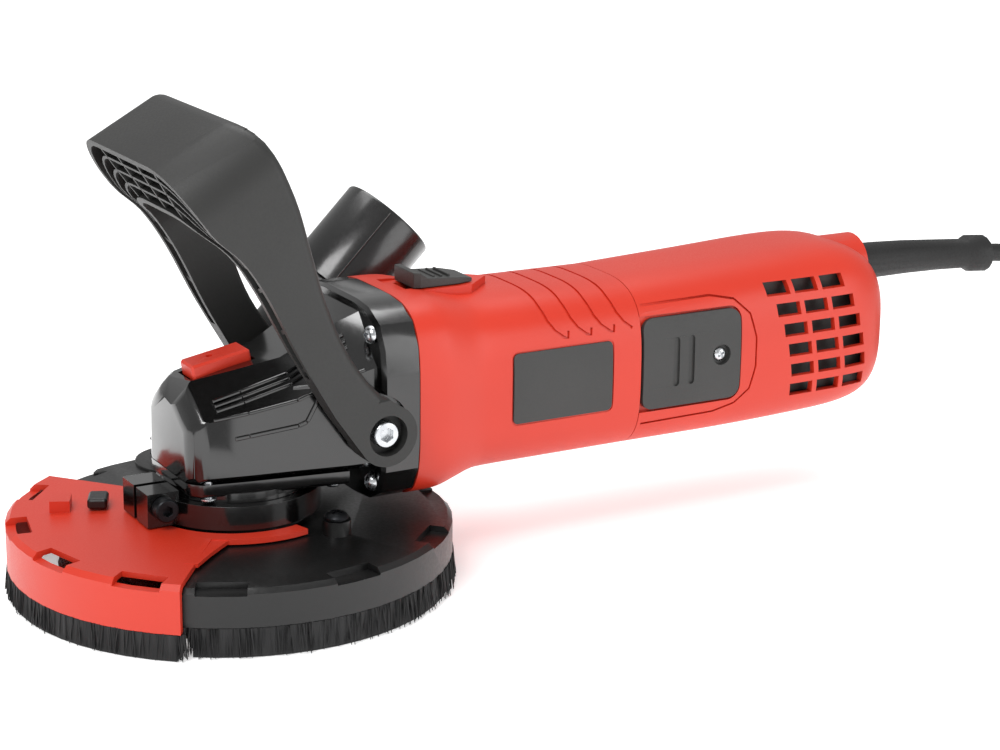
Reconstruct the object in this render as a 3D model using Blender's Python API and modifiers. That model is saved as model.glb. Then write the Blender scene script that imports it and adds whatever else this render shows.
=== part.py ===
"""Hand-held concrete surface grinder: 125 mm cup wheel, dust shroud with a swinging front segment,
vacuum adaptor, bail handle, slide switch, spindle lock, motor, bevel gears and mains lead.

Every size below is in millimetres, measured from the spindle axis at floor level:
+X runs to the rear of the tool, +Y to the dust outlet's side, +Z up. MM turns it into metres.
"""

import math

import bmesh
import bpy
from mathutils import Matrix, Vector

MM = 0.001
GAP = 0.3

# Motor body
AXIS_Z = 64.0
WALL = 2.5
FLANGE_X = 54.0
FLANGE_HALF = 35.7
SEAM_X = 147.0
REAR_X = 264.4
BODY_POINTS = 28

# Gear head
CASE_BOTTOM = 43.5
COVER_BOTTOM = 38.3
NECK_R = 22.7
SCREW_Y = 27.5
SCREW_DZ = 26.5

# Bevel gears: the pitch cones meet where the two shafts' axes cross
CROWN_TEETH = 33
PINION_TEETH = 11
CROWN_PITCH_R = 20.0
PINION_PITCH_R = CROWN_PITCH_R * PINION_TEETH / CROWN_TEETH
TOOTH_INNER = 0.7
ADDENDUM = 0.8
DEDENDUM = 1.4

# Shroud
RIM_R = 76.0
RIM_BOTTOM = 10.5
SEGMENT_R = 80.0
SEGMENT_HALF_ANGLE = 53.5
CHAMBER_TOP = 20.6
COLLAR_TOP = 36.0
WINDOW_STEP = 36.0
LUG_X = -37.5
CLAMP_X = -32.0
CLAMP_Z = 34.3

# Dust outlet, rising to the rear at 45 degrees
OUTLET_Y = 63.5
OUTLET_MOUTH = Vector((92.0, OUTLET_Y, 108.5))
OUTLET_AXIS = Vector((1, 0, 1)).normalized()
PORT_R = 16.0
ADAPTOR_R = 18.8
BULGE_R = 17.5

# Handle
PIVOT = Vector((37.5, 0.0, 59.0))
HANDLE_SLOPE = math.radians(29)
HANDLE_OUT = 44.3
HANDLE_IN = 36.3
EYE_R = 11.0

# Slide switch
SLIDE_Z = 98.8

# Mains lead
CORD_R = 3.6
RELIEF_END = 330.0
RELIEF_Z = 86.0
RELIEF_DROP = 3.2
COIL_CENTRE = Vector((466.0, 47.0, 0.0))
COIL_R = 44.0
COIL_HALF = 14.9
COIL_TOP = 14.8
PLUG_START = Vector((478.0, -33.3, 18.6))
PLUG_RELIEF = 32.0
PIN_SPACING = 9.5
PIN_R = 2.4

# The tool's own frame is centred under its bounding box
TOOL_X = -(RELIEF_END - SEGMENT_R) / 2
TOOL_Y = -(OUTLET_Y + BULGE_R - RIM_R) / 2


def clear_scene():
    for item in list(bpy.data.objects):
        bpy.data.objects.remove(item, do_unlink=True)


clear_scene()
parts = bpy.data.collections.new("concrete_grinder")
cutters = bpy.data.collections.new("cutters")
for collection in (parts, cutters):
    bpy.context.scene.collection.children.link(collection)


def linear(hex_colour):
    """A colour written as #rrggbb, in Blender's linear values."""
    values = []
    for start in (1, 3, 5):
        s = int(hex_colour[start:start + 2], 16) / 255
        values.append(s / 12.92 if s <= 0.04045 else ((s + 0.055) / 1.055) ** 2.4)
    return (*values, 1.0)


def material(name, colour, roughness, metallic=0.0):
    made = bpy.data.materials.new(name)
    made.use_nodes = True
    shader = made.node_tree.nodes["Principled BSDF"]
    shader.inputs["Base Color"].default_value = linear(colour)
    shader.inputs["Roughness"].default_value = roughness
    shader.inputs["Metallic"].default_value = metallic
    made.diffuse_color = linear(colour)
    return made


RED = material("red_housing_plastic", "#DE4A33", 0.45)
GREY = material("grey_plastic", "#474745", 0.5)
GRIP = material("handle_plastic", "#3A3A38", 0.55)
CAST = material("black_gear_case", "#141414", 0.25, 0.3)
SHROUD = material("black_shroud_plastic", "#2B2B2A", 0.4)
BRISTLE = material("nylon_bristles", "#242424", 0.8)
ZINC = material("zinc_plated_steel", "#C9CBCE", 0.25, 1.0)
BLACK_STEEL = material("black_oxide_steel", "#1C1C1E", 0.35, 0.9)
STEEL = material("hardened_steel", "#8E9196", 0.3, 1.0)
BEARING = material("bearing_steel", "#B4B7BB", 0.2, 1.0)
COPPER = material("copper", "#B87345", 0.35, 1.0)
LAMINATION = material("lamination_steel", "#6D6F73", 0.5, 0.9)
BRASS = material("brass", "#B79A55", 0.35, 1.0)
CARBON = material("carbon_brush", "#2E2E30", 0.7)
NYLON = material("white_nylon", "#D8D6CC", 0.5)
RUBBER = material("cord_rubber", "#1B1B1B", 0.65)
DIAMOND = material("wheel_steel", "#6E7378", 0.45, 0.9)


def empty(name, place, parent=None):
    made = bpy.data.objects.new(name, None)
    made.empty_display_size = 0.01
    made.location = place
    made.parent = parent
    parts.objects.link(made)
    return made


tool = empty("tool_frame", (TOOL_X * MM, TOOL_Y * MM, 0))


def joint_frame(name, place):
    """An empty on a joint's axis, given in the tool's millimetres."""
    return empty(name, Vector(place) * MM, tool)


spindle_axis = joint_frame("spindle_axis", (0, 0, 0))
armature_axis = joint_frame("armature_axis", (0, 0, AXIS_Z))
handle_axis = joint_frame("handle_axis", PIVOT)
slide_origin = joint_frame("slide_origin", (78, 0, SLIDE_Z))
lock_origin = joint_frame("lock_origin", (-14, 0, 79))
adaptor_axis = joint_frame("adaptor_axis", OUTLET_MOUTH)
latch_origin = joint_frame("latch_origin", (0, 0, 27))


def finish(name, mesh, paint, parent=tool, smooth=True):
    """Link a mesh written in the tool's frame under its parent; no paint makes it a cutter."""
    item = bpy.data.objects.new(name, mesh)
    item.parent = parent
    if parent is not tool:
        item.location = -parent.location
    if paint is None:
        item.hide_render = True
        item.display_type = "WIRE"
        cutters.objects.link(item)
        return item
    mesh.materials.append(paint)
    if smooth:
        mesh.shade_smooth()
        mesh.set_sharp_from_angle(angle=math.radians(30))
    parts.objects.link(item)
    return item


def to_mesh(name, bm):
    bmesh.ops.recalc_face_normals(bm, faces=bm.faces)
    bmesh.ops.scale(bm, vec=(MM, MM, MM), verts=bm.verts)
    mesh = bpy.data.meshes.new(name)
    bm.to_mesh(mesh)
    bm.free()
    return mesh


def box(name, low, high, paint=None, parent=tool, turn=None, bevel=0.0):
    """A block between two corners, turned about its own centre where a matrix is given."""
    low = Vector(low)
    high = Vector(high)
    bm = bmesh.new()
    bmesh.ops.create_cube(bm, size=1)
    bmesh.ops.scale(bm, vec=high - low, verts=bm.verts)
    if bevel:
        bmesh.ops.bevel(bm, geom=bm.edges[:], offset=bevel, segments=1, affect="EDGES",
                        profile=0.5, material=-1)
    if turn:
        bmesh.ops.transform(bm, matrix=turn, verts=bm.verts)
    bmesh.ops.translate(bm, vec=(low + high) / 2, verts=bm.verts)
    return finish(name, to_mesh(name, bm), paint, parent)


def rod(name, start, end, radius, paint=None, parent=tool, sides=24, end_radius=None):
    """A cylinder or a cone between two points."""
    start = Vector(start)
    end = Vector(end)
    bm = bmesh.new()
    tip = radius if end_radius is None else end_radius
    bmesh.ops.create_cone(bm, cap_ends=True, segments=sides, radius1=radius, radius2=tip,
                          depth=(end - start).length)
    aim = (end - start).to_track_quat("Z", "Y").to_matrix().to_4x4()
    bmesh.ops.transform(bm, matrix=Matrix.Translation((start + end) / 2) @ aim, verts=bm.verts)
    return finish(name, to_mesh(name, bm), paint, parent)


def turned(name, profile, paint, parent=tool, place=(0, 0, 0), aim=(0, 0, 1), steps=32):
    """A closed or on-axis outline of (radius, height) points turned round an axis."""
    bm = bmesh.new()
    corners = [bm.verts.new((r * MM, 0, h * MM)) for r, h in profile]
    for first, second in zip(corners, corners[1:]):
        bm.edges.new((first, second))
    if profile[0][0] > 0 or profile[-1][0] > 0:
        bm.edges.new((corners[-1], corners[0]))
    mesh = bpy.data.meshes.new(name)
    bm.to_mesh(mesh)
    bm.free()
    item = finish(name, mesh, paint, parent, smooth=False)
    item.location += Vector(place) * MM
    item.rotation_euler = Vector(aim).to_track_quat("Z", "Y").to_euler()
    screw = item.modifiers.new("turn", "SCREW")
    screw.axis = "Z"
    screw.angle = math.tau
    screw.steps = steps
    screw.render_steps = steps
    screw.use_merge_vertices = True
    screw.merge_threshold = 0.00001
    screw.use_smooth_shade = True
    return item


def loft(name, rings, paint=None, parent=tool, first_cap=True, last_cap=True, closed=False):
    """Faces between rings of equally many points; closed joins the last ring to the first."""
    bm = bmesh.new()
    rows = [[bm.verts.new(point) for point in ring] for ring in rings]
    count = len(rows[0])
    pairs = list(zip(rows, rows[1:]))
    if closed:
        pairs.append((rows[-1], rows[0]))
    for near, far in pairs:
        for i in range(count):
            j = (i + 1) % count
            bm.faces.new((near[i], near[j], far[j], far[i]))
    if first_cap and not closed:
        bm.faces.new(rows[0])
    if last_cap and not closed:
        bm.faces.new(rows[-1])
    return finish(name, to_mesh(name, bm), paint, parent)


def prism(name, outline, low, high, paint=None, parent=tool):
    """A flat outline in X and Y, raised between two heights."""
    rings = [[(x, y, z) for x, y in outline] for z in (low, high)]
    return loft(name, rings, paint, parent)


def boolean(target, tool_piece, operation="DIFFERENCE"):
    step = target.modifiers.new(tool_piece.name, "BOOLEAN")
    step.operation = operation
    step.object = tool_piece
    step.solver = "EXACT"


def superellipse(x, half_y, half_z, centre_z, power, count=BODY_POINTS):
    """A rounded-square ring across the body."""
    ring = []
    for i in range(count):
        turn = math.tau * (i + 0.5) / count
        c = math.cos(turn)
        s = math.sin(turn)
        reach = (abs(c) ** power + abs(s) ** power) ** (-1 / power)
        ring.append((x, half_y * reach * c, centre_z + half_z * reach * s))
    return ring


def arc(radius, first, last, count, centre=(0, 0)):
    """Points along a circle, angles in degrees."""
    points = []
    for i in range(count):
        turn = math.radians(first + (last - first) * i / (count - 1))
        points.append((centre[0] + radius * math.cos(turn), centre[1] + radius * math.sin(turn)))
    return points


def sector(name, profile, first, last, steps, paint=None, parent=tool):
    """An outline of (radius, height) points swept part of the way round the spindle axis."""
    rings = []
    for i in range(steps + 1):
        turn = math.radians(first + (last - first) * i / steps)
        rings.append([(r * math.cos(turn), r * math.sin(turn), z) for r, z in profile])
    return loft(name, rings, paint, parent)


def mirrored(point, side):
    return (point[0], point[1] * side, point[2])


SIDES = (("left", -1), ("right", 1))


# Motor housing, rear cover and what is fixed to their outside

GRIP_SECTIONS = [(FLANGE_X + GAP, 35.7, 4.1), (68, 35.2, 4.0), (78, 32.4, 3.6), (86, 31.9, 3.4),
                 (SEAM_X - GAP, 31.7, 3.3)]
COVER_SECTIONS = [(SEAM_X, 31.7, 31.7, 64.0), (190, 31.9, 32.6, 65.0), (225, 31.6, 33.0, 66.3),
                  (243, 30.8, 32.2, 66.6), (254, 28.5, 29.5, 66.3), (261, 24.0, 24.0, 66.0),
                  (REAR_X, 15.0, 14.0, 66.0)]
BADGE_LOW = (93.5, 51.5)
BADGE_HIGH = (134.5, 77.5)
PANEL_LOW = (SEAM_X, 49.0)
PANEL_HIGH = (190.0, 83.5)
PANEL_SCREW = (181.5, 66.5)
VENT_FRONT = 214.4
VENT_LOW = 48.0
VENT_STEP = 8.0
VENT_PITCH = 12.7
VENT_LENGTH = 10.8


def side_plate(name, low, high, inner, sections, paint, side):
    """A plate let into the body's side, whose outer face follows the body 0.5 mm proud."""
    plate = box(name, mirrored((low[0], inner, low[1]), side), mirrored((high[0], 40, high[1]), side),
                paint)
    proud = [superellipse(x, half + 0.5, half + 0.5, z, 3.3) for x, half, z in sections]
    boolean(plate, loft(f"{name}_outer_face", proud), "INTERSECT")
    return plate


def seat(name, low, high, inner, side, margin=GAP):
    """The cutter for a plate's seat, larger all round by the gap."""
    return box(name, mirrored((low[0] - margin, inner - margin, low[1] - margin), side),
               mirrored((high[0] + margin, 42, high[1] + margin), side))


def motor_housing():
    rings = [superellipse(x, half, half, AXIS_Z, power) for x, half, power in GRIP_SECTIONS]
    shell = loft("motor_housing", rings, RED, first_cap=False, last_cap=False)
    wall = shell.modifiers.new("wall", "SOLIDIFY")
    wall.thickness = WALL * MM
    wall.offset = -1
    front = [superellipse(x, 34.6, 34.6, AXIS_Z, 4.1) for x in (FLANGE_X + 0.8, 60.3)]
    boolean(shell, loft("housing_front_wall", front), "UNION")
    pad = [(57, 10), (57, -10), (88, -10), (98, 0), (88, 10)]
    boolean(shell, prism("slider_pad", pad, 94.2, SLIDE_Z), "UNION")
    boolean(shell, rod("air_inlet", (50, 0, AXIS_Z), (62, 0, AXIS_Z), 28.5, sides=40))
    boolean(shell, box("slider_recess", (59.5, -9, SLIDE_Z - 0.1), (70, 9, 110)))
    boolean(shell, box("slider_slot", (64, -5, 90), (83, 5, 112)))
    for x_side, side in SIDES:
        boolean(shell, seat(f"badge_seat_{x_side}", BADGE_LOW, BADGE_HIGH, 30.9, side))
        for level in (-SCREW_DZ, SCREW_DZ):
            hole = rod(f"housing_hole_{x_side}_{level > 0}", (50, side * SCREW_Y, AXIS_Z + level),
                       (59.6, side * SCREW_Y, AXIS_Z + level), 2.3, sides=12)
            boolean(shell, hole)
    return shell


def vent_cutter():
    """Six rows of three slots on each side, the upper rows curving forwards."""
    bm = bmesh.new()
    for _, side in SIDES:
        for row in range(6):
            for column in range(3):
                x = VENT_FRONT - 0.48 * row ** 2 + VENT_PITCH * column
                made = bmesh.ops.create_cube(bm, size=1)["verts"]
                bmesh.ops.scale(bm, vec=(VENT_LENGTH, 26, 5.0), verts=made)
                place = (x + VENT_LENGTH / 2, side * 28, VENT_LOW + VENT_STEP * row)
                bmesh.ops.translate(bm, vec=place, verts=made)
    return finish("vent_cutter", to_mesh("vent_cutter", bm), None)


def rear_cover():
    rings = [superellipse(x, hy, hz, z, 3.3) for x, hy, hz, z in COVER_SECTIONS]
    shell = loft("rear_cover", rings, RED, first_cap=False)
    wall = shell.modifiers.new("wall", "SOLIDIFY")
    wall.thickness = WALL * MM
    wall.offset = -1
    boss = rod("cable_boss", (243, 0, RELIEF_Z), (263.2, 0, RELIEF_Z), 12, sides=28)
    boolean(shell, boss, "UNION")
    boolean(shell, rod("relief_seat", (238, 0, RELIEF_Z), (257.5, 0, RELIEF_Z), 9.8, sides=24))
    boolean(shell, rod("relief_hole", (255, 0, RELIEF_Z), (270, 0, RELIEF_Z), 7.7, sides=24))
    boolean(shell, vent_cutter())
    for x_side, side in SIDES:
        boolean(shell, seat(f"panel_opening_{x_side}", PANEL_LOW, PANEL_HIGH, 20, side, 0.8))
    return shell


def badges_and_brush_covers():
    panel_sections = [(140, 31.7, 64.0), (190, 32.2, 65.0), (200, 32.2, 65.2)]
    for x_side, side in SIDES:
        side_plate(f"badge_{x_side}", BADGE_LOW, BADGE_HIGH, 30.9,
                   [(90, 31.9, AXIS_Z), (140, 31.7, AXIS_Z)], GREY, side)
        cover = side_plate(f"brush_cover_{x_side}", PANEL_LOW, PANEL_HIGH, 29.2,
                           panel_sections, GREY, side)
        x, z = PANEL_SCREW
        boolean(cover, rod(f"cover_hole_{x_side}", (x, side * 26, z), (x, side * 40, z), 1.9, sides=12))
        boolean(cover, rod(f"cover_sink_{x_side}", (x, side * 30.5, z), (x, side * 40, z), 3.9, sides=16))
        screw = [(0, 32.0), (3.2, 31.6), (3.5, 30.8), (1.6, 30.8), (1.6, 23.5), (0, 23.5)]
        turned(f"brush_cover_screw_{x_side}", screw, ZINC, place=(x, 0, z), aim=(0, side, 0), steps=8)


# Gear case, bearing cover and the screws that hold them

CASE_SECTIONS = [(-25, 17, 62, 7, 69), (-21.5, 21.5, 65, 8.5, 75.3), (-5, 24.5, 67, 10, 79.0),
                 (12, 27, 70, 12, 82.0), (30, 30, 77, 14, 91.5), (42, 31, 80, 17, 97)]
COVER_SCREWS = [(-18.3, -18.6), (-18.3, 18.6), (26.5, -22.5), (26.5, 22.5)]
LOCK_TURN = Matrix.Rotation(math.radians(-10.3), 4, "Y")


def case_ring(x, half, side_top, flat, top):
    """A section of the gear case: flat bottom, upright sides, sloping shoulders."""
    right = [(half - 2, CASE_BOTTOM), (half, CASE_BOTTOM + 2), (half, side_top), (flat, top)]
    ring = right + [(-y, z) for y, z in reversed(right)]
    return [(x, y, z) for y, z in ring]


def gear_case():
    case = loft("gear_case", [case_ring(*section) for section in CASE_SECTIONS], CAST)
    flange = [superellipse(x, half, half, AXIS_Z, 4.1)
              for x, half in ((40, 34.6), (41.5, FLANGE_HALF), (FLANGE_X, FLANGE_HALF))]
    boolean(case, loft("case_flange", flange), "UNION")
    boolean(case, rod("gear_chamber", (0, 0, 35), (0, 0, 60.5), 22, sides=40))
    boolean(case, box("pinion_chamber", (7, -9.5, 50), (27.5, 9.5, 73)))
    boolean(case, rod("front_bearing_bore", (27, 0, AXIS_Z), (46, 0, AXIS_Z), 13.3, sides=32))
    boolean(case, rod("fan_recess", (45, 0, AXIS_Z), (58, 0, AXIS_Z), 30, sides=40))
    boolean(case, rod("bush_bore", (0, 0, 58), (0, 0, 70), 8.3, sides=24))
    boolean(case, rod("lock_pin_hole", (-14, 0, 58), (-14, 0, 80), 2.5, sides=16))
    boolean(case, rod("lock_spring_bore", (-14, 0, 65.7), (-14, 0, 80), 4.4, sides=20))
    boolean(case, box("lock_pocket", (-18.8, -6, 72.2), (5.6, 6, 88), turn=LOCK_TURN))
    for x_side, side in SIDES:
        eye = rod(f"handle_eye_clearance_{x_side}", (PIVOT.x, side * 32.9, PIVOT.z),
                  (PIVOT.x, side * 50, PIVOT.z), EYE_R + 1.2, sides=32)
        boolean(case, eye)
        thread = rod(f"handle_thread_{x_side}", (PIVOT.x, side * 26.4, PIVOT.z),
                     (PIVOT.x, side * 50, PIVOT.z), 3.3, sides=16)
        boolean(case, thread)
        for level in (-SCREW_DZ, SCREW_DZ):
            hole = rod(f"flange_hole_{x_side}_{level > 0}", (35, side * SCREW_Y, AXIS_Z + level),
                       (58, side * SCREW_Y, AXIS_Z + level), 2.3, sides=12)
            boolean(case, hole)
    for number, (x, y) in enumerate(COVER_SCREWS, 1):
        boolean(case, rod(f"case_thread_{number}", (x, y, 40), (x, y, 52.5), 2.2, sides=12))
    return case


def bearing_cover():
    outline = [(-24.5, 16.5), (-21, 20.8), (30, 27.5), (30, -27.5), (-21, -20.8), (-24.5, -16.5)]
    plate = prism("bearing_cover", outline, COVER_BOTTOM, CASE_BOTTOM - GAP, CAST)
    boolean(plate, rod("cover_neck", (0, 0, 23.2), (0, 0, COVER_BOTTOM + 1), NECK_R, sides=40), "UNION")
    boolean(plate, rod("lower_bearing_bore", (0, 0, 26.2), (0, 0, 50), 16.3, sides=32))
    boolean(plate, rod("spindle_exit", (0, 0, 20), (0, 0, 30), 7.5, sides=24))
    for number, (x, y) in enumerate(COVER_SCREWS, 1):
        boolean(plate, rod(f"cover_screw_hole_{number}", (x, y, 30), (x, y, 50), 2.2, sides=12))
    return plate


def case_screws():
    pan_head = [(0, 2.7), (2.4, 2.4), (3.2, 1.2), (3.2, 0), (2.0, 0), (2.0, -19.4), (0, -19.4)]
    number = 0
    for _, side in SIDES:
        for level in (SCREW_DZ, -SCREW_DZ):
            number += 1
            turned(f"gear_case_screw_{number}", pan_head, ZINC, aim=(-1, 0, 0), steps=8,
                   place=(40 - GAP, side * SCREW_Y, AXIS_Z + level))
    low_head = [(0, 1.8), (2.6, 1.5), (3.0, 0.8), (3.0, 0), (1.9, 0), (1.9, -14), (0, -14)]
    for number, (x, y) in enumerate(COVER_SCREWS, 1):
        turned(f"bearing_cover_screw_{number}", low_head, ZINC, place=(x, y, COVER_BOTTOM - GAP),
               aim=(0, 0, -1), steps=8)


# Spindle, gears and wheel

def bevel_ring(radius, height, teeth, cone, scale, phase, tip, root):
    """One ring of a bevel gear's teeth at a share of the pitch cone's length.

    The cone is the angle between the gear's axis and its pitch surface; heights are along the
    gear's axis from the point where both shafts' axes cross, towards the gear."""
    ring = []
    for tooth in range(teeth):
        for share, lift in ((-0.21, root), (-0.11, tip), (0.11, tip), (0.21, root)):
            turn = math.tau * (tooth + phase + share) / teeth
            r = scale * (radius + lift * math.cos(cone))
            h = scale * (height - lift * math.sin(cone))
            ring.append((r * math.cos(turn), r * math.sin(turn), h))
    return ring


def plain_ring(radius, height, like):
    """A round ring with the same angles as another ring."""
    ring = []
    for x, y, _ in like:
        turn = math.atan2(y, x)
        ring.append((radius * math.cos(turn), radius * math.sin(turn), height))
    return ring


def crown_gear():
    cone = math.atan2(CROWN_PITCH_R, PINION_PITCH_R)
    outer = bevel_ring(CROWN_PITCH_R, PINION_PITCH_R, CROWN_TEETH, cone, 1.0, 0.5, ADDENDUM, -DEDENDUM)
    inner = bevel_ring(CROWN_PITCH_R, PINION_PITCH_R, CROWN_TEETH, cone, TOOTH_INNER, 0.5, ADDENDUM,
                       -DEDENDUM)
    rings = [outer, inner, plain_ring(6.3, 7.5, outer), plain_ring(6.3, 19.5, outer),
             plain_ring(11, 19.5, outer), plain_ring(19.6, 12, outer)]
    world = [[(x, y, AXIS_Z - h) for x, y, h in ring] for ring in rings]
    return loft("crown_gear", world, STEEL, spindle_axis, closed=True)


def pinion():
    cone = math.atan2(PINION_PITCH_R, CROWN_PITCH_R)
    outer = bevel_ring(PINION_PITCH_R, CROWN_PITCH_R, PINION_TEETH, cone, 1.0, 0.0, ADDENDUM, -DEDENDUM)
    inner = bevel_ring(PINION_PITCH_R, CROWN_PITCH_R, PINION_TEETH, cone, TOOTH_INNER, 0.0, ADDENDUM,
                       -DEDENDUM)
    rings = [outer, inner, plain_ring(2.3, 14.0, outer), plain_ring(2.3, 21.5, outer)]
    world = [[(h, y, AXIS_Z - x) for x, y, h in ring] for ring in rings]
    return loft("pinion", world, STEEL, armature_axis, closed=True)


def bearing(name, bore, outside, width, place, aim, steps):
    profile = [(outside, width), (outside, 0), (bore, 0), (bore, width)]
    return turned(name, profile, BEARING, place=place, aim=aim, steps=steps)


def spindle_group():
    spindle = [(0, 69), (5.6, 69), (6, 68.4), (6, 22.5), (6.9, 22.5), (6.9, 19.4), (6, 19.4),
               (6, 5.2), (0, 5.2)]
    turned("spindle", spindle, STEEL, spindle_axis, steps=20)
    crown_gear()
    bearing("spindle_bush", 6.2, 8.1, 8.5, (0, 0, 61), (0, 0, 1), 20)
    bearing("spindle_bearing", 6.2, 16, 10, (0, 0, 27), (0, 0, 1), 20)
    turned("inner_flange", [(16, 19.2), (16, 15.4), (6.2, 15.4), (6.2, 19.2)], STEEL, spindle_axis,
           steps=28)
    wheel = [(38, 15), (46, 9.2), (62.5, 8.8), (62.5, 1.4), (48, 1.4), (48, 6), (45, 6), (36.5, 12),
             (11.4, 12), (11.4, 15)]
    turned("cup_wheel", wheel, DIAMOND, spindle_axis, steps=36)
    turned("flange_nut", [(16, 11.6), (16, 7.4), (6.2, 7.4), (6.2, 11.6)], STEEL, spindle_axis,
           steps=28)


def lock_group():
    bar = box("spindle_lock", (-17.5, -5.5, 76.7), (4.5, 5.5, 82.7), RED, lock_origin,
              turn=LOCK_TURN, bevel=0.8)
    boolean(bar, rod("lock_pin", (-14, 0, 64.6), (-14, 0, 78), 2.1, sides=16), "UNION")
    turns = 4
    low = 66.6
    high = 74.3
    points = []
    for i in range(turns * 8 + 1):
        turn = math.tau * i / 8
        height = low + (high - low) * i / (turns * 8)
        points.append((-14 + 3.3 * math.cos(turn), 3.3 * math.sin(turn), height))
    wire("lock_spring", points, 0.45, ZINC, 1)


def wire(name, points, radius, paint, resolution=2):
    """A round wire along points, with closed ends, as a mesh."""
    curve = bpy.data.curves.new(name, "CURVE")
    curve.dimensions = "3D"
    curve.bevel_depth = radius * MM
    curve.bevel_resolution = resolution
    curve.use_fill_caps = True
    spline = curve.splines.new("POLY")
    spline.points.add(len(points) - 1)
    for point, place in zip(spline.points, points):
        point.co = (*(Vector(place) * MM), 1)
    curve.materials.append(paint)
    item = bpy.data.objects.new(name, curve)
    item.parent = tool
    parts.objects.link(item)
    return item


# Motor, switch and what is fixed inside

def fan():
    """A disc with a hub and twelve blades towards the gear case."""
    disc = [(25, 68), (25, 66), (5.2, 66), (5.2, 68)]
    wheel = turned("fan", [(h_r, h_x - 62) for h_r, h_x in disc], NYLON, armature_axis,
                   place=(62, 0, AXIS_Z), aim=(1, 0, 0), steps=36)
    bm = bmesh.new()
    for i in range(12):
        made = bmesh.ops.create_cube(bm, size=1)["verts"]
        bmesh.ops.scale(bm, vec=(9, 1.2, 12), verts=made)
        bmesh.ops.rotate(bm, matrix=Matrix.Rotation(math.radians(25), 3, "X"), verts=made)
        bmesh.ops.translate(bm, vec=(62, 0, 17), verts=made)
        bmesh.ops.rotate(bm, matrix=Matrix.Rotation(math.tau * i / 12, 3, "X"), verts=made)
    bmesh.ops.translate(bm, vec=(0, 0, AXIS_Z), verts=bm.verts)
    blades = finish("fan_blades", to_mesh("fan_blades", bm), None)
    boolean(wheel, blades, "UNION")
    return wheel


def motor():
    shaft = [(0, 192), (3.7, 192), (3.7, 183), (4.8, 183), (4.8, 21.9), (2.1, 21.9), (2.1, 13.6),
             (0, 13.6)]
    turned("armature_shaft", shaft, STEEL, armature_axis, place=(0, 0, AXIS_Z), aim=(1, 0, 0), steps=16)
    pinion()
    fan()
    core = turned("armature_core", [(18.5, 134), (18.5, 84), (5.1, 84), (5.1, 134)], LAMINATION,
                  armature_axis, place=(0, 0, AXIS_Z), aim=(1, 0, 0), steps=24)
    slots = bmesh.new()
    for i in range(12):
        made = bmesh.ops.create_cube(slots, size=1)["verts"]
        bmesh.ops.scale(slots, vec=(60, 1.6, 5), verts=made)
        bmesh.ops.translate(slots, vec=(109, 0, 17.5), verts=made)
        bmesh.ops.rotate(slots, matrix=Matrix.Rotation(math.tau * i / 12, 3, "X"), verts=made)
    bmesh.ops.translate(slots, vec=(0, 0, AXIS_Z), verts=slots.verts)
    boolean(core, finish("core_slots", to_mesh("core_slots", slots), None))
    turned("commutator", [(12, 178), (12, 158), (5.1, 158), (5.1, 178)], COPPER, armature_axis,
           place=(0, 0, AXIS_Z), aim=(1, 0, 0), steps=24)
    bearing("armature_bearing_front", 5.0, 13.0, 8, (28, 0, AXIS_Z), (1, 0, 0), 20)
    bearing("armature_bearing_rear", 3.9, 11.0, 7, (184, 0, AXIS_Z), (1, 0, 0), 16)
    turned("bearing_bracket", [(28.2, 194), (28.2, 184), (11.3, 184), (11.3, 191.4), (6, 191.4),
                               (6, 194)], NYLON, place=(0, 0, AXIS_Z), aim=(1, 0, 0), steps=20)
    turned("stator", [(27.5, 136), (27.5, 82), (19.3, 82), (19.3, 136)], LAMINATION,
           place=(0, 0, AXIS_Z), aim=(1, 0, 0), steps=24)
    baffle = turned("air_baffle", [(28.4, 75.5), (28.4, 73), (20, 73), (20, 75.5)], GREY,
                    place=(0, 0, AXIS_Z), aim=(1, 0, 0), steps=24)
    boolean(baffle, box("baffle_notch", (70, -6.5, 87.5), (78, 19, 95)))
    for x_side, side in SIDES:
        holder = box(f"brush_holder_{x_side}", mirrored((160, 14.5, 57), side),
                     mirrored((176, 28.4, 71), side), BRASS)
        boolean(holder, box(f"holder_bore_{x_side}", mirrored((163, 10, 60), side),
                            mirrored((173, 27.2, 68), side)))
        box(f"carbon_brush_{x_side}", mirrored((163.3, 12.4, 60.3), side),
            mirrored((172.7, 25, 67.7), side), CARBON)


def switch_group():
    sections = [(66, 7.6, 104.8), (68.5, 8.3, 104.6), (71.5, 8.3, 102.4), (84, 8.3, 101.5),
                (90, 6.6, 100.4)]
    base = SLIDE_Z + GAP
    rings = [[(x, half, base), (x, half, top), (x, -half, top), (x, -half, base)]
             for x, half, top in sections]
    slider = loft("slide_switch", rings, GREY, slide_origin)
    boolean(slider, box("slider_stem", (69, -4.5, 90.5), (82, 4.5, 100)), "UNION")
    boolean(slider, box("slider_foot", (67, -4.5, 89.9), (80, 17, 92)), "UNION")
    rod("switch_rod", (80.4, 15, 90.4), (199.4, 15, 90.4), 1.1, ZINC, slide_origin, sides=8)
    box("switch_block", (199.8, 0, 62), (226, 23, 91.3), GREY, bevel=1.0)


# Dust shroud

SHROUD_PROFILE = [(26, COLLAR_TOP), (26, 24.9), (30, 24.6), (74.2, 23.6), (RIM_R, 22), (RIM_R, RIM_BOTTOM),
                  (RIM_R - 3, RIM_BOTTOM), (RIM_R - 3, CHAMBER_TOP), (30, 21.6), (23, 21.9),
                  (23, COLLAR_TOP)]
SEGMENT_TOP = [(31, 27.1), (78.2, 26.1), (SEGMENT_R, 24.3), (SEGMENT_R, 9.3)]
SEGMENT_UNDER = [(77.3, 9.3), (77.3, 22.8), (75.8, 24.2), (31, 25.2)]


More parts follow.
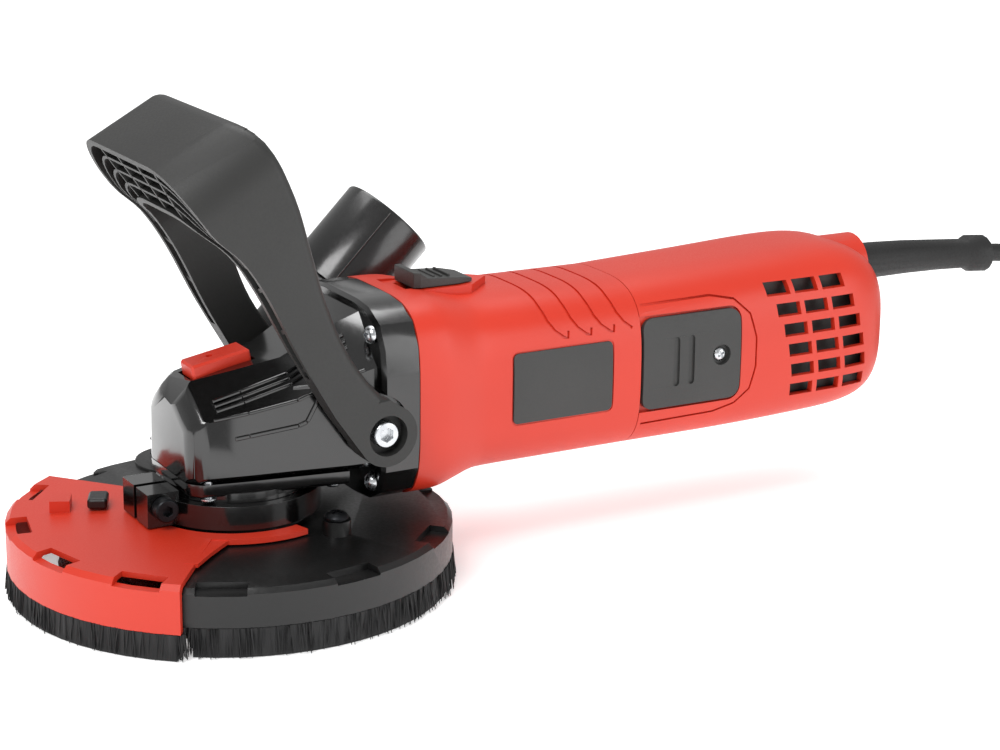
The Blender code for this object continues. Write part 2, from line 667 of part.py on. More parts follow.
def windows(name, angles, inner, outer, low):
    """Square windows through the crease of the shroud."""
    bm = bmesh.new()
    for angle in angles:
        made = bmesh.ops.create_cube(bm, size=1)["verts"]
        bmesh.ops.scale(bm, vec=(outer - inner, 17, 12), verts=made)
        bmesh.ops.translate(bm, vec=((inner + outer) / 2, 0, low + 6), verts=made)
        bmesh.ops.rotate(bm, matrix=Matrix.Rotation(math.radians(angle), 3, "Z"), verts=made)
    return finish(name, to_mesh(name, bm), None)


def shroud_rear():
    shell = turned("shroud_rear", SHROUD_PROFILE, SHROUD, steps=48)
    foot = OUTLET_MOUTH - OUTLET_AXIS * (OUTLET_MOUTH.z - 22) / OUTLET_AXIS.z
    port_end = OUTLET_MOUTH - OUTLET_AXIS * 22
    boolean(shell, rod("outlet_bulge", (foot.x, foot.y, RIM_BOTTOM + GAP), (foot.x, foot.y, 25), BULGE_R,
                       sides=32), "UNION")
    boolean(shell, rod("outlet_port", foot, port_end, PORT_R, sides=28), "UNION")
    boolean(shell, rod("chamber", (0, 0, 5), (0, 0, CHAMBER_TOP - 0.1), RIM_R - 3.2, sides=44))
    boolean(shell, rod("screw_boss", (21.5, -36.5, 22.5), (21.5, -36.5, 29.4), 5, sides=20), "UNION")
    boolean(shell, rod("outlet_chamber", (foot.x, foot.y, 5), (foot.x, foot.y, CHAMBER_TOP),
                       BULGE_R - 3, sides=32))
    bore_start = foot - OUTLET_AXIS * 4
    boolean(shell, rod("outlet_bore", bore_start, port_end + OUTLET_AXIS * 5, PORT_R - 2.4, sides=32))
    boolean(shell, rod("boss_hole", (21.5, -36.5, 15), (21.5, -36.5, 35), 2.3, sides=12))
    half = SEGMENT_HALF_ANGLE - 0.8
    front = arc(40, 180 - half, 180 + half, 16) + arc(100, 180 + half, 180 - half, 16)
    boolean(shell, prism("front_opening", front, 2, 45))
    rear_angles = [-117.2 + WINDOW_STEP * i for i in range(5)] + [117.2]
    boolean(shell, windows("rear_windows", rear_angles, 68.5, 80, 21.4))
    return shell


def shroud_front():
    first = 180 - SEGMENT_HALF_ANGLE
    last = 180 + SEGMENT_HALF_ANGLE
    profile = SEGMENT_TOP + SEGMENT_UNDER
    segment = sector("shroud_front", profile, first, last, 16, RED, spindle_axis)
    ring = [(31, 27.1), (36.8, 27.0), (36.8, 25.1), (31, 25.2)]
    boolean(segment, sector("segment_ring", ring, last - 8, 288, 14), "UNION")
    web = [(36, 243), (42, 239.5), (50, 236.5), (60, 234.5), (60, 230), (36, 230)]
    corners = [(r * math.cos(math.radians(turn)), r * math.sin(math.radians(turn))) for r, turn in web]
    boolean(segment, prism("segment_web", corners, 25.3, 26.6), "UNION")
    tab = box("segment_tab", (-64.5, -4.5, 25.8), (-57.5, 4.5, 30.6),
              turn=Matrix.Rotation(math.radians(-24.4), 4, "Z"))
    tab.location = Vector((61 - 61 * math.cos(math.radians(24.4)), 61 * math.sin(math.radians(24.4)), 0)) * MM
    boolean(segment, tab, "UNION")
    boolean(segment, windows("front_windows", [140.6 + 27.3 * i for i in range(4)], 72, 84, 23.6))
    return segment


def shroud_group():
    shroud_rear()
    shroud_front()
    box("release_latch", (-51.5, -5, 27.4), (-44.5, 5, 31.4), SHROUD, latch_origin, bevel=0.8,
        ).rotation_euler = (0, 0, math.radians(-24.4))
    bristle = [(69, 15), (72.7, 15), (72.7, RIM_BOTTOM - GAP), (75.6, RIM_BOTTOM - GAP), (75.2, 0), (69, 0)]
    half = 180 - SEGMENT_HALF_ANGLE - 2
    sector("brush_ring_rear", bristle, -half, half, 40, BRISTLE)
    front = [(76.5, 9.0), (79.8, 9.0), (79.8, 0), (76.5, 0)]
    sector("brush_ring_front", front, 181 - SEGMENT_HALF_ANGLE, 179 + SEGMENT_HALF_ANGLE, 16, BRISTLE,
           spindle_axis)
    collar = ([(-30, -1.2), (LUG_X, -1.2), (LUG_X, -11.5), (-27.5, -11.5)] + arc(29.8, 204, 516, 32)
              + [(-27.5, 11.5), (LUG_X, 11.5), (LUG_X, 1.2), (-30, 1.2)] + arc(26.4, 537, 183, 32))
    band = prism("clamp_collar", collar, 27.5, COLLAR_TOP, SHROUD)
    for x_side, side in SIDES:
        lug = box(f"lug_top_{x_side}", mirrored((LUG_X, 1.2, 34), side), mirrored((-26, 11.5, 39.5), side))
        boolean(band, lug, "UNION")
    boolean(band, rod("clamp_hole", (CLAMP_X, -20, CLAMP_Z), (CLAMP_X, 20, CLAMP_Z), 2.3, sides=12))
    cap_head = [(0, 4.6), (4.2, 4.6), (4.2, 0), (2.0, 0), (2.0, -23.6), (0, -23.6)]
    turned("clamp_screw", cap_head, BLACK_STEEL, place=(CLAMP_X, -11.5 - GAP, CLAMP_Z), aim=(0, -1, 0), steps=16)
    dome = [(0, 2.6), (2.6, 2.0), (4.2, 0), (2.0, 0), (2.0, -9), (0, -9)]
    turned("shroud_screw", dome, BLACK_STEEL, place=(21.5, -36.5, 29.7), steps=16)
    base = OUTLET_MOUTH - OUTLET_AXIS * 36
    pipe = rod("dust_adaptor", base, OUTLET_MOUTH, ADAPTOR_R, SHROUD, adaptor_axis, sides=40)
    boolean(pipe, rod("adaptor_bore", base - OUTLET_AXIS * 3, OUTLET_MOUTH + OUTLET_AXIS * 3, 16.4, sides=40))
    down = Vector((1, 0, -1)).normalized()
    nib = OUTLET_MOUTH + down * (ADAPTOR_R - 0.5) - OUTLET_AXIS * 1.6
    boolean(pipe, box("adaptor_nib", nib - Vector((1.6, 1.5, 1.6)), nib + Vector((1.6, 1.5, 1.6))), "UNION")


# Handle

def handle_outline(inset):
    """The bail seen along its slope, as (across, up) points; inset moves every edge inwards."""
    outer = 45.8 - inset
    inner = 33.0 + inset
    top = 154.9 - inset
    opening = 130.0 + inset
    points = [(HANDLE_OUT - inset, 8), (outer, 112)]
    points += arc(17, 8, 84, 7, (outer - 17, top - 17))
    half = list(points)
    inside = [(HANDLE_IN + inset, 8), (HANDLE_IN + inset, 60), (inner, 95)]
    inside += arc(22, 10, 80, 6, (inner - 22, opening - 22))
    right = half + [(-y, v) for y, v in reversed(half)]
    left = [(-y, v) for y, v in inside] + list(reversed(inside))
    return right + left


def handle_side(shift):
    """The bail seen from the side, as (x, z) points."""
    rear = [(-12, 169.5), (-4.5, 163), (4.5, 144.5), (9.7, 127), (15, 108.8), (22.7, 90.7), (33, 76), (42, 69)]
    eye = arc(EYE_R, 50, -150, 14, (PIVOT.x, PIVOT.z))
    front = [(17.5, 68.2), (4.5, 90.7), (-6, 111.4), (-15, 125), (-26, 135.5), (-39, 155.5)]
    return [(x + shift[0], z + shift[1]) for x, z in rear + eye + front]


def handle_body(name, inset, shift, paint=None, parent=tool):
    along = Vector((math.cos(HANDLE_SLOPE), 0, math.sin(HANDLE_SLOPE)))
    up = Vector((-math.sin(HANDLE_SLOPE), 0, math.cos(HANDLE_SLOPE)))
    rings = [[tuple(Vector((0, y, 0)) + up * v + along * reach) for y, v in handle_outline(inset)]
             for reach in (-40, 130)]
    across = [[(x, y, z) for x, z in handle_side(shift)] for y in (-60, 60)]
    body = loft(name, rings, paint, parent)
    boolean(body, loft(f"{name}_side", across), "INTERSECT")
    return body


def handle_group():
    handle = handle_body("handle", 0, (0, 0), GRIP, handle_axis)
    reach = 3.2 * Vector((math.cos(HANDLE_SLOPE), math.sin(HANDLE_SLOPE)))
    pocket = handle_body("handle_pocket", 2.8, -reach)
    boolean(pocket, box("pocket_end", (-10, -60, 30), (80, 60, 84)))
    boolean(handle, pocket)
    for x_side, side in SIDES:
        boolean(handle, rod(f"eye_boss_{x_side}", (PIVOT.x, side * 33.3, PIVOT.z),
                            (PIVOT.x, side * 44.0, PIVOT.z), EYE_R - 0.2, sides=32), "UNION")
        boolean(handle, rod(f"eye_bore_{x_side}", (PIVOT.x, side * 25, PIVOT.z),
                            (PIVOT.x, side * 60, PIVOT.z), 3.3, sides=20))
        boolean(handle, rod(f"eye_sink_{x_side}", (PIVOT.x, side * 39.6, PIVOT.z),
                            (PIVOT.x, side * 60, PIVOT.z), 6.8, sides=28))
        head = [(0, 43.4), (4.2, 43.4), (4.7, 42.9), (4.7, 39.9), (3.0, 39.9), (3.0, 27), (0, 27)]
        turned(f"handle_bolt_{x_side}", head, ZINC, place=(PIVOT.x, 0, PIVOT.z), aim=(0, side, 0), steps=20)


# Mains lead

def smooth_route(points, step):
    """Points a step apart along a Catmull-Rom curve through the route's own points."""
    ends = [points[0] * 2 - points[1]] + points + [points[-1] * 2 - points[-2]]
    fine = []
    for a, b, c, d in zip(ends, ends[1:], ends[2:], ends[3:]):
        for i in range(24):
            t = i / 24
            fine.append(0.5 * (2 * b + (c - a) * t + (2 * a - 5 * b + 4 * c - d) * t * t
                               + (3 * b - a - 3 * c + d) * t ** 3))
    fine.append(points[-1])
    kept = [fine[0]]
    for point in fine:
        if (point - kept[-1]).length >= step:
            kept.append(point)
    if (fine[-1] - kept[-1]).length > step / 2:
        kept.append(fine[-1])
    else:
        kept[-1] = fine[-1]
    return kept


def relief_height(x):
    """The strain relief's centre line droops a little towards its free end."""
    return RELIEF_Z - RELIEF_DROP * (max(0, x - 263) / (RELIEF_END - 263)) ** 2


CORD_ROUTE = [(330.9, 0, 82.8), (345, -0.5, 80.9), (363, -2.5, 74), (381, -6.5, 59), (397, -11, 40),
              (413, -14.5, 21), (430, -16.5, 8.2), (448, -17.8, 4), (466, -17, 3.7), (482, -15, 3.7),
              (497.5, -8.7, 3.7), (511.8, 2.3, 3.7)]


def lead():
    stations = [(254, 9.3), (256.9, 9.3), (257, 7.3), (263, 7.3), (275, 7.1), (290, 6.7), (305, 6.3),
                (320, 6.0), (322, 7.5), (RELIEF_END, 7.5)]
    rings = [[(x, y, relief_height(x) + z) for y, z in arc(radius, 0, 337.5, 16)] for x, radius in stations]
    loft("strain_relief", rings, RUBBER)
    route = smooth_route([Vector(point) for point in CORD_ROUTE], 3 * CORD_R * 2)
    wire("cord_tube", route, CORD_R, RUBBER, 2)
    corner = 2.0
    inner = COIL_R - COIL_HALF
    outer = COIL_R + COIL_HALF
    ring = [(outer - corner, COIL_TOP), (outer, COIL_TOP - corner), (outer, corner), (outer - corner, 0),
            (inner + corner, 0), (inner, corner), (inner, COIL_TOP - corner), (inner + corner, COIL_TOP)]
    turned("cord_coil", ring, RUBBER, place=COIL_CENTRE, steps=28)
    body = [(0, PLUG_RELIEF), (5, PLUG_RELIEF), (5.6, 30), (8.5, 2), (17.2, 0), (18.4, -3), (18.4, -24),
            (17, -26), (0, -26)]
    face = PLUG_START + Vector((PLUG_RELIEF, 0, 0))
    plug = turned("plug", body, RUBBER, place=face, aim=(-1, 0, 0), steps=28)
    for name, side in SIDES:
        root = face + Vector((18, side * PIN_SPACING, 0))
        boolean(plug, rod(f"plug_pin_{name}", root, root + Vector((27, 0, 0)), PIN_R, sides=12), "UNION")


motor_housing()
rear_cover()
badges_and_brush_covers()
gear_case()
bearing_cover()
case_screws()
spindle_group()
lock_group()
motor()
switch_group()
shroud_group()
handle_group()
lead()
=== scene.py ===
# %% [markdown]
# # A concrete surface grinder with a dust shroud
# The tool is a small angle grinder: a red plastic motor body, a black die-cast gear case, a hoop
# handle, a diamond cup wheel and a shroud whose brush ring keeps the dust in. The measured frame
# gives every part its place. Here each visible part gets its edges, ribs, bristles and finish.

# %% Load the frame
import bmesh
import bpy
import math
import random
from mathutils import Matrix, Vector
from mathutils.geometry import interpolate_bezier


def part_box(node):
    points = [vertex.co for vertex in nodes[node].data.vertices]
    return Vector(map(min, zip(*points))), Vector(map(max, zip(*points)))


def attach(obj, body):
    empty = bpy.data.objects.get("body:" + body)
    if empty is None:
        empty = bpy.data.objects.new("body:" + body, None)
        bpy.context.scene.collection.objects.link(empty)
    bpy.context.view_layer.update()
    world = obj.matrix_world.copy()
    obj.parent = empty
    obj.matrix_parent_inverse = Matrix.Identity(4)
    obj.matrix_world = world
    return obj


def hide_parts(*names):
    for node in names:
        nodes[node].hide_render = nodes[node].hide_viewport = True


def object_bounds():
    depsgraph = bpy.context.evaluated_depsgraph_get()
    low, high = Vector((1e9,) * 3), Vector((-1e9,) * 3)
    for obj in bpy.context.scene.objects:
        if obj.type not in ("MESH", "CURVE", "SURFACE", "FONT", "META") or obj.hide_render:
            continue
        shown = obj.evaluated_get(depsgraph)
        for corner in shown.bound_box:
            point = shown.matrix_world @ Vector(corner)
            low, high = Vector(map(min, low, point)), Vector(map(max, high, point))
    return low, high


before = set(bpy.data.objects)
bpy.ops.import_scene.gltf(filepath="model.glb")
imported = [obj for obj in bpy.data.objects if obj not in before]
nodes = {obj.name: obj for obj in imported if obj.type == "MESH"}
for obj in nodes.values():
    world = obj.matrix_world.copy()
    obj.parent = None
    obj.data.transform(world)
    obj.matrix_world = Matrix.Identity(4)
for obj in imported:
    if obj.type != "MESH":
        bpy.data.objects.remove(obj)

CAD_LOW, CAD_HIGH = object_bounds()
scene = bpy.context.scene
print("frame:", len(nodes), "parts,", [round(v, 3) for v in CAD_HIGH - CAD_LOW], "m")

# %% [markdown]
# ## Where things are
# It is easiest to think of this tool in millimetres, from the point on the floor under the spindle:
# x runs back along the motor, y to the right and z up. One matrix carries such a shape to its place.

# %% The tool's own millimetre grid
spindle_low, spindle_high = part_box("spindle")
ORIGIN = (spindle_low + spindle_high) / 2
ORIGIN.z = CAD_LOW.z
PLACE = Matrix.Translation(ORIGIN) @ Matrix.Scale(0.001, 4)


def at(x, y, z):
    """A point of the tool's grid, in metres in the scene."""
    return PLACE @ Vector((x, y, z))


print("the spindle stands at", [round(v, 4) for v in ORIGIN])

# %% [markdown]
# ## The camera
# A long lens about a metre away keeps the tool's parallel edges nearly parallel, as in a shop
# picture. The view is from the front left, a little above the motor.

# %% Camera
AIM = at(105.6, 0, 60.35)
AZIMUTH, ELEVATION, ROLL = (math.radians(angle) for angle in (-29.3, 16.0, 0.6))
DISTANCE = 0.9184


def aim_camera():
    back = Vector((math.sin(AZIMUTH) * math.cos(ELEVATION), -math.cos(AZIMUTH) * math.cos(ELEVATION),
                   math.sin(ELEVATION)))
    level = (-back).cross(Vector((0, 0, 1))).normalized()
    over = level.cross(-back)
    right = level * math.cos(ROLL) + over * math.sin(ROLL)
    up = over * math.cos(ROLL) - level * math.sin(ROLL)
    made = bpy.data.objects.new("camera", bpy.data.cameras.new("camera"))
    made.data.lens = 90
    made.data.sensor_width = 36
    made.data.clip_start = 0.05
    turn = Matrix((right, up, back)).transposed().to_4x4()
    made.matrix_world = Matrix.Translation(AIM + back * DISTANCE) @ turn
    scene.collection.objects.link(made)
    scene.camera = made
    return made


camera = aim_camera()
print("camera at", [round(v, 3) for v in camera.matrix_world.translation])

# %% [markdown]
# ## The mains lead
# A two-core rubber lead of about two and a half metres, 7.2 mm thick. It leaves the sleeve at the
# back of the tool, falls to the floor and is wound into a flat coil of two layers. Each turn steps
# sideways by its own thickness inside a short window, so that the turns lie side by side. One curve
# through all of it keeps its length honest.

# %% Route of the lead
CORD_R = 3.6
COIL_MIDDLE = Vector((466.0, 47.0, 0.0))
TURN_STEP = 7.5
COIL_OUTER_R, COIL_DRAW_IN = 64, 8.75
STEP_WINDOW, CLIMB_WINDOW = 80, 90
CLIMB_AT, UNWIND_AT = 1390, 1730
START_ANGLE = 44.3
FLOOR_LAYER, TOP_LAYER = 3.7, 11.1
DROP = [(326, 0, 82.95), (330.9, 0, 82.8), (345, -0.5, 80.9), (363, -2.5, 74), (381, -6.5, 59),
        (397, -11, 40), (413, -14.5, 21), (430, -16.5, 8.2), (448, -17.8, 4), (466, -17, 3.7),
        (482, -15, 3.7), (497.5, -8.7, 3.7), (511.8, 2.3, 3.7)]
TAIL = [(434.9, -1.1, 12.3), (445, -12.3, 14.9), (454.4, -22.7, 17.3), (461.2, -28.4, 18.4),
        (469.4, -32.1, 18.6), (482, -33.3, 18.6)]


def ease(t):
    """A smooth step from 0 to 1."""
    t = min(max(t, 0), 1)
    return t * t * (3 - 2 * t)


def coil_point(turned):
    """Where the lead is after it has gone this many degrees round the coil."""
    radius = COIL_OUTER_R - COIL_DRAW_IN * ease(turned / STEP_WINDOW)
    radius -= TURN_STEP * sum(ease((turned - 360 * k) / STEP_WINDOW) for k in (1, 2, 3))
    radius += TURN_STEP * sum(ease((turned - UNWIND_AT - 360 * k) / STEP_WINDOW) for k in (0, 1, 2))
    height = FLOOR_LAYER + (TOP_LAYER - FLOOR_LAYER) * ease((turned - CLIMB_AT) / CLIMB_WINDOW)
    angle = math.radians(turned - START_ANGLE)
    return COIL_MIDDLE + Vector((radius * math.cos(angle), radius * math.sin(angle), height))


route = [Vector(p) for p in DROP]
route += [coil_point(15 * k) for k in range(1, 186)]
route += [Vector(p) for p in TAIL]


def lead_curve():
    """One open curve; its depth is 1 and each point's radius is the lead's real one."""
    data = bpy.data.curves.new("mains_lead", "CURVE")
    data.dimensions = "3D"
    spline = data.splines.new("BEZIER")
    spline.bezier_points.add(len(route) - 1)
    ends = [route[0], *route, route[-1]]
    for point, before, place, after in zip(spline.bezier_points, ends, route, ends[2:]):
        lean = (after - before) / 6
        point.co = PLACE @ place
        point.radius = CORD_R / 1000
        point.handle_left = PLACE @ (place - lean)
        point.handle_right = PLACE @ (place + lean)
    spline.resolution_u = 4
    data.bevel_depth = 1
    data.bevel_resolution = 5
    data.use_fill_caps = True
    made = bpy.data.objects.new("mains_lead", data)
    scene.collection.objects.link(made)
    return made


lead = lead_curve()
bpy.context.view_layer.update()
points = lead.data.splines[0].bezier_points
lead_length = 0
for start, end in zip(points, points[1:]):
    steps = interpolate_bezier(start.co, start.handle_right, end.handle_left, end.co, 9)
    lead_length += sum((b - a).length for a, b in zip(steps, steps[1:]))
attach(lead, "tool_body")
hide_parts("cord_tube", "cord_coil")
print("the lead is", round(lead_length, 3), "m long")

# %% [markdown]
# ## Floor and light
# A plain pale sweep and three large soft lamps, the brightest high on the left, give long quiet
# highlights on the gloss castings and leave a soft shadow under the brush ring.

# %% Floor, sky and lamps
scene.view_settings.view_transform = "Standard"


def srgb(hex_colour):
    """A colour written as #rrggbb, in Blender's linear values."""
    values = []
    for start in (1, 3, 5):
        s = int(hex_colour[start:start + 2], 16) / 255
        values.append(s / 12.92 if s <= 0.04045 else ((s + 0.055) / 1.055) ** 2.4)
    return (*values, 1.0)


def add(tree, kind, inputs=(), **settings):
    """Adds a shader node with its settings, and sets or links its inputs."""
    made = tree.nodes.new("ShaderNode" + kind)
    for key, value in settings.items():
        setattr(made, key, value)
    for key, value in dict(inputs).items():
        if isinstance(value, bpy.types.NodeSocket):
            tree.links.new(value, made.inputs[key])
        else:
            made.inputs[key].default_value = value
    return made


def floor_and_lamps():
    world = bpy.data.worlds.new("studio")
    world.use_nodes = True
    world.node_tree.nodes["Background"].inputs["Color"].default_value = srgb("#FFFFFF")
    world.node_tree.nodes["Background"].inputs["Strength"].default_value = 0.5
    scene.world = world
    bm = bmesh.new()
    bmesh.ops.create_grid(bm, x_segments=2, y_segments=2, size=4)
    bmesh.ops.translate(bm, verts=bm.verts, vec=(0, 0, CAD_LOW.z - 0.0002))
    mesh = bpy.data.meshes.new("floor")
    bm.to_mesh(mesh)
    bm.free()
    floor = bpy.data.objects.new("floor", mesh)
    paper = bpy.data.materials.new("white_paper_sweep")
    paper.use_nodes = True
    shader = paper.node_tree.nodes["Principled BSDF"]
    shader.inputs["Base Color"].default_value = srgb("#FBFBFB")
    shader.inputs["Roughness"].default_value = 0.8
    shader.inputs["Emission Color"].default_value = srgb("#FFFFFF")
    shader.inputs["Emission Strength"].default_value = 0.42
    mesh.materials.append(paper)
    scene.collection.objects.link(floor)
    for name, place, size, power in (("key", (-0.9, -0.7, 1.2), 0.7, 15), ("fill", (1.0, -1.3, 0.45), 0.9, 6),
                                     ("top", (0.1, 0.45, 1.3), 0.8, 8)):
        lamp = bpy.data.objects.new(name, bpy.data.lights.new(name, "AREA"))
        lamp.data.size = size
        lamp.data.energy = power
        lamp.location = place
        lamp.rotation_euler = (AIM - Vector(place)).to_track_quat("-Z", "Y").to_euler()
        scene.collection.objects.link(lamp)


floor_and_lamps()
print("floor and", len(bpy.data.lights), "lamps")

# %% [markdown]
# ## Finishes
# Most of the tool is moulded glass-filled nylon. What gives it away is a fine spark-eroded grain, a
# soft wide highlight and a colour that drifts a little over a hand's width. The same recipe, with
# other grain sizes and depths, makes cast paint, rubber and rolled steel, so one function takes the
# real sizes in millimetres.

# %% The recipe for a moulded, cast or rolled surface
MM = 0.001


def surface(name, light, dark, rough, grain, depth, mottle=30.0, metallic=0.0, coat=0.0, ior=1.5,
            stretch=(1, 1, 1)):
    """light and dark are the ends of the colour, rough is (least, most); grain, depth, mottle are mm."""
    made = bpy.data.materials.new(name)
    made.use_nodes = True
    tree = made.node_tree
    shader = tree.nodes["Principled BSDF"]
    place = add(tree, "Mapping", {"Vector": add(tree, "TexCoord").outputs["Object"], "Scale": stretch})
    drift = add(tree, "TexNoise", {"Vector": place.outputs["Vector"], "Scale": 1 / (mottle * MM),
                                   "Detail": 3.0})
    colour = add(tree, "ValToRGB", {"Fac": drift.outputs["Fac"]})
    colour.color_ramp.elements[0].position = 0.3
    colour.color_ramp.elements[1].position = 0.7
    colour.color_ramp.elements[0].color = srgb(dark)
    colour.color_ramp.elements[1].color = srgb(light)
    tree.links.new(colour.outputs["Color"], shader.inputs["Base Color"])
    fine = add(tree, "TexNoise", {"Vector": place.outputs["Vector"], "Scale": 1 / (grain * MM),
                                  "Detail": 2.0})
    sheen = add(tree, "MapRange", {"Value": fine.outputs["Fac"], "From Min": 0.3, "From Max": 0.7,
                                   "To Min": rough[0], "To Max": rough[1]})
    tree.links.new(sheen.outputs["Result"], shader.inputs["Roughness"])
    bump = add(tree, "Bump", {"Height": fine.outputs["Fac"], "Strength": 1.0, "Distance": depth * MM})
    tree.links.new(bump.outputs["Normal"], shader.inputs["Normal"])
    shader.inputs["Metallic"].default_value = metallic
    shader.inputs["Coat Weight"].default_value = coat
    if coat:
        shader.inputs["Coat Roughness"].default_value = 0.12
    if not metallic:
        shader.inputs["IOR"].default_value = ior
    return made


# Glass-filled nylon, moulded red: fine spark-eroded grain of about 0.6 mm, a satin highlight.
RED = surface("red_moulded_nylon", "#CF341E", "#C8301B", (0.34, 0.44), 0.6, 0.02, mottle=60)
# The same nylon in dark grey, for the switch, the side plates and the nameplate blank.
GREY = surface("dark_grey_moulded_nylon", "#333332", "#2E2E2D", (0.42, 0.54), 0.7, 0.025)
# The handle's nylon is rougher, almost chalky, in charcoal.
CHARCOAL = surface("charcoal_textured_nylon", "#272726", "#232322", (0.46, 0.56), 0.8, 0.03)
# Die-cast magnesium under gloss black stove enamel: slight orange peel over the casting.
ENAMEL = surface("gloss_black_stove_enamel", "#0A0A0A", "#080808", (0.14, 0.2), 2.5, 0.012, coat=0.8)
# Impact-proof nylon of the shroud, black with a satin skin.
SATIN = surface("satin_black_shroud_nylon", "#101010", "#0D0D0D", (0.3, 0.4), 1.1, 0.012)
# Glossier black for the vacuum outlet, which is moulded against polished steel.
GLOSS = surface("polished_dark_grey_nylon", "#1B1B1B", "#171717", (0.2, 0.27), 1.6, 0.01, coat=0.3)
# Zinc-plated steel screws: a bright, faintly blotched plating.
ZINC = surface("zinc_plated_steel", "#D6D8DA", "#B9BCC0", (0.18, 0.34), 0.9, 0.008, mottle=4, metallic=1.0)
# Black oxide on steel: dark blue-black with a dull sheen.
OXIDE = surface("black_oxide_steel", "#2A2B2E", "#1D1E20", (0.34, 0.48), 0.7, 0.01, mottle=6, metallic=0.85)
# Ground and hardened steel of shafts and gears.
GROUND = surface("ground_hardened_steel", "#9DA1A6", "#85898F", (0.2, 0.36), 0.5, 0.006, mottle=5,
                 metallic=1.0)
BEARING = surface("polished_bearing_steel", "#C4C7CB", "#AEB2B7", (0.12, 0.22), 0.8, 0.003, mottle=8,
                  metallic=1.0)
# Rubber of the lead and sleeve: matt, slightly dusty black.
RUBBER = surface("black_lead_rubber", "#181818", "#131313", (0.5, 0.66), 0.9, 0.03, mottle=12)
# Copper wire, brass, carbon and the white nylon of small inner parts.
COPPER = surface("enamelled_copper_wire", "#B9713F", "#96512B", (0.25, 0.4), 0.8, 0.12, mottle=3,
                 metallic=1.0, stretch=(1, 6, 6))
BRASS = surface("drawn_brass", "#C0A263", "#A48748", (0.25, 0.4), 0.6, 0.01, mottle=6, metallic=1.0)
CARBON = surface("pressed_carbon", "#333336", "#262628", (0.55, 0.7), 0.4, 0.02, mottle=3)
NYLON = surface("natural_white_nylon", "#DDDACF", "#CECABD", (0.4, 0.55), 0.8, 0.02)
# Stacked 0.5 mm silicon-steel sheets, stretched across the motor so that the edges show as lines.
LAMINATION = surface("stacked_lamination_steel", "#7C7F84", "#5E6166", (0.4, 0.6), 0.5, 0.05, mottle=2,
                     metallic=0.9, stretch=(1, 0.1, 0.1))
# Sintered diamond grit in bronze on a steel cup.
GRIT = surface("sintered_diamond_segment", "#8B8576", "#5C574C", (0.55, 0.8), 0.5, 0.2, mottle=1.2,
               metallic=0.5)
# Crimped nylon filaments, lengthwise streaks a millimetre apart from the floor up.
BRISTLE = surface("black_nylon_bristles", "#1E1E1F", "#0B0B0C", (0.55, 0.8), 1.0, 0.5, mottle=1.4,
                  stretch=(1, 1, 0.06))
print(len(bpy.data.materials), "finishes")

# %% [markdown]
# ## Turning the measured solids into finished parts
# A moulded or cast part never has a razor edge: there is always a small radius, and the light that
# catches it is what makes it look solid. The measured solids give the right shapes, so each visible
# one is copied, its loose triangles are merged and joined into flat faces, its details are cut or
# added, and a narrow bevel rounds what is left sharp.

# %% Helpers for pieces
MERGE = 0.02
FLAT_ANGLE = 1.0


def finish_piece(name, bm, body, paint, stands_for=(), edge=0.5, smooth=32, segments=2):
    """Places a bmesh in millimetres, smooths it, rounds its edges and ties it to its body."""
    bmesh.ops.transform(bm, matrix=PLACE, verts=bm.verts)
    mesh = bpy.data.meshes.new(name)
    bm.to_mesh(mesh)
    bm.free()
    mesh.shade_smooth()
    mesh.set_sharp_from_angle(angle=math.radians(smooth))
    mesh.materials.clear()
    mesh.materials.append(paint)
    made = bpy.data.objects.new(name, mesh)
    scene.collection.objects.link(made)
    if edge:
        bevel = made.modifiers.new("rounded_edges", "BEVEL")
        bevel.width = edge * MM
        bevel.segments = segments
        bevel.limit_method = "ANGLE"
        bevel.angle_limit = math.radians(smooth)
        bevel.harden_normals = True
    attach(made, body)
    if stands_for:
        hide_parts(*stands_for)
    return made


def from_frame(node):
    """A merged copy of a measured solid, in millimetres."""
    bm = bmesh.new()
    bm.from_mesh(nodes[node].data)
    bmesh.ops.transform(bm, matrix=PLACE.inverted(), verts=bm.verts)
    bmesh.ops.remove_doubles(bm, verts=bm.verts, dist=MERGE)
    bmesh.ops.dissolve_limit(bm, angle_limit=math.radians(FLAT_ANGLE), verts=bm.verts, edges=bm.edges)
    return bm


def combine(base, tools, operation="DIFFERENCE"):
    """Cuts the tool shapes out of a bmesh, or adds them to it, one after another."""
    for tool in tools:
        first, second = (bpy.data.meshes.new(label) for label in ("base", "tool"))
        base.to_mesh(first)
        tool.to_mesh(second)
        tool.free()
        holder, cutter = (bpy.data.objects.new(mesh.name, mesh) for mesh in (first, second))
        for item in (holder, cutter):
            scene.collection.objects.link(item)
        boolean = holder.modifiers.new("cut", "BOOLEAN")
        boolean.operation = operation
        boolean.object = cutter
        boolean.solver = "EXACT"
        graph = bpy.context.evaluated_depsgraph_get()
        result = bpy.data.meshes.new_from_object(holder.evaluated_get(graph))
        base.clear()
        base.from_mesh(result)
        for item in (holder, cutter):
            bpy.data.objects.remove(item)
    return base


def block(low, high):
    """A box between two corners."""
    bm = bmesh.new()
    low, high = Vector(map(min, low, high)), Vector(map(max, low, high))
    size = Matrix.Diagonal((*(high - low), 1))
    bmesh.ops.create_cube(bm, size=1, matrix=Matrix.Translation((low + high) / 2) @ size)
    return bm


def peg(start, end, radius, sides=32):
    """A round bar between two points."""
    bm = bmesh.new()
    start, end = Vector(start), Vector(end)
    aim = (end - start).to_track_quat("Z", "Y").to_matrix().to_4x4()
    bmesh.ops.create_cone(bm, cap_ends=True, segments=sides, radius1=radius, radius2=radius,
                          depth=(end - start).length, matrix=Matrix.Translation((start + end) / 2) @ aim)
    return bm


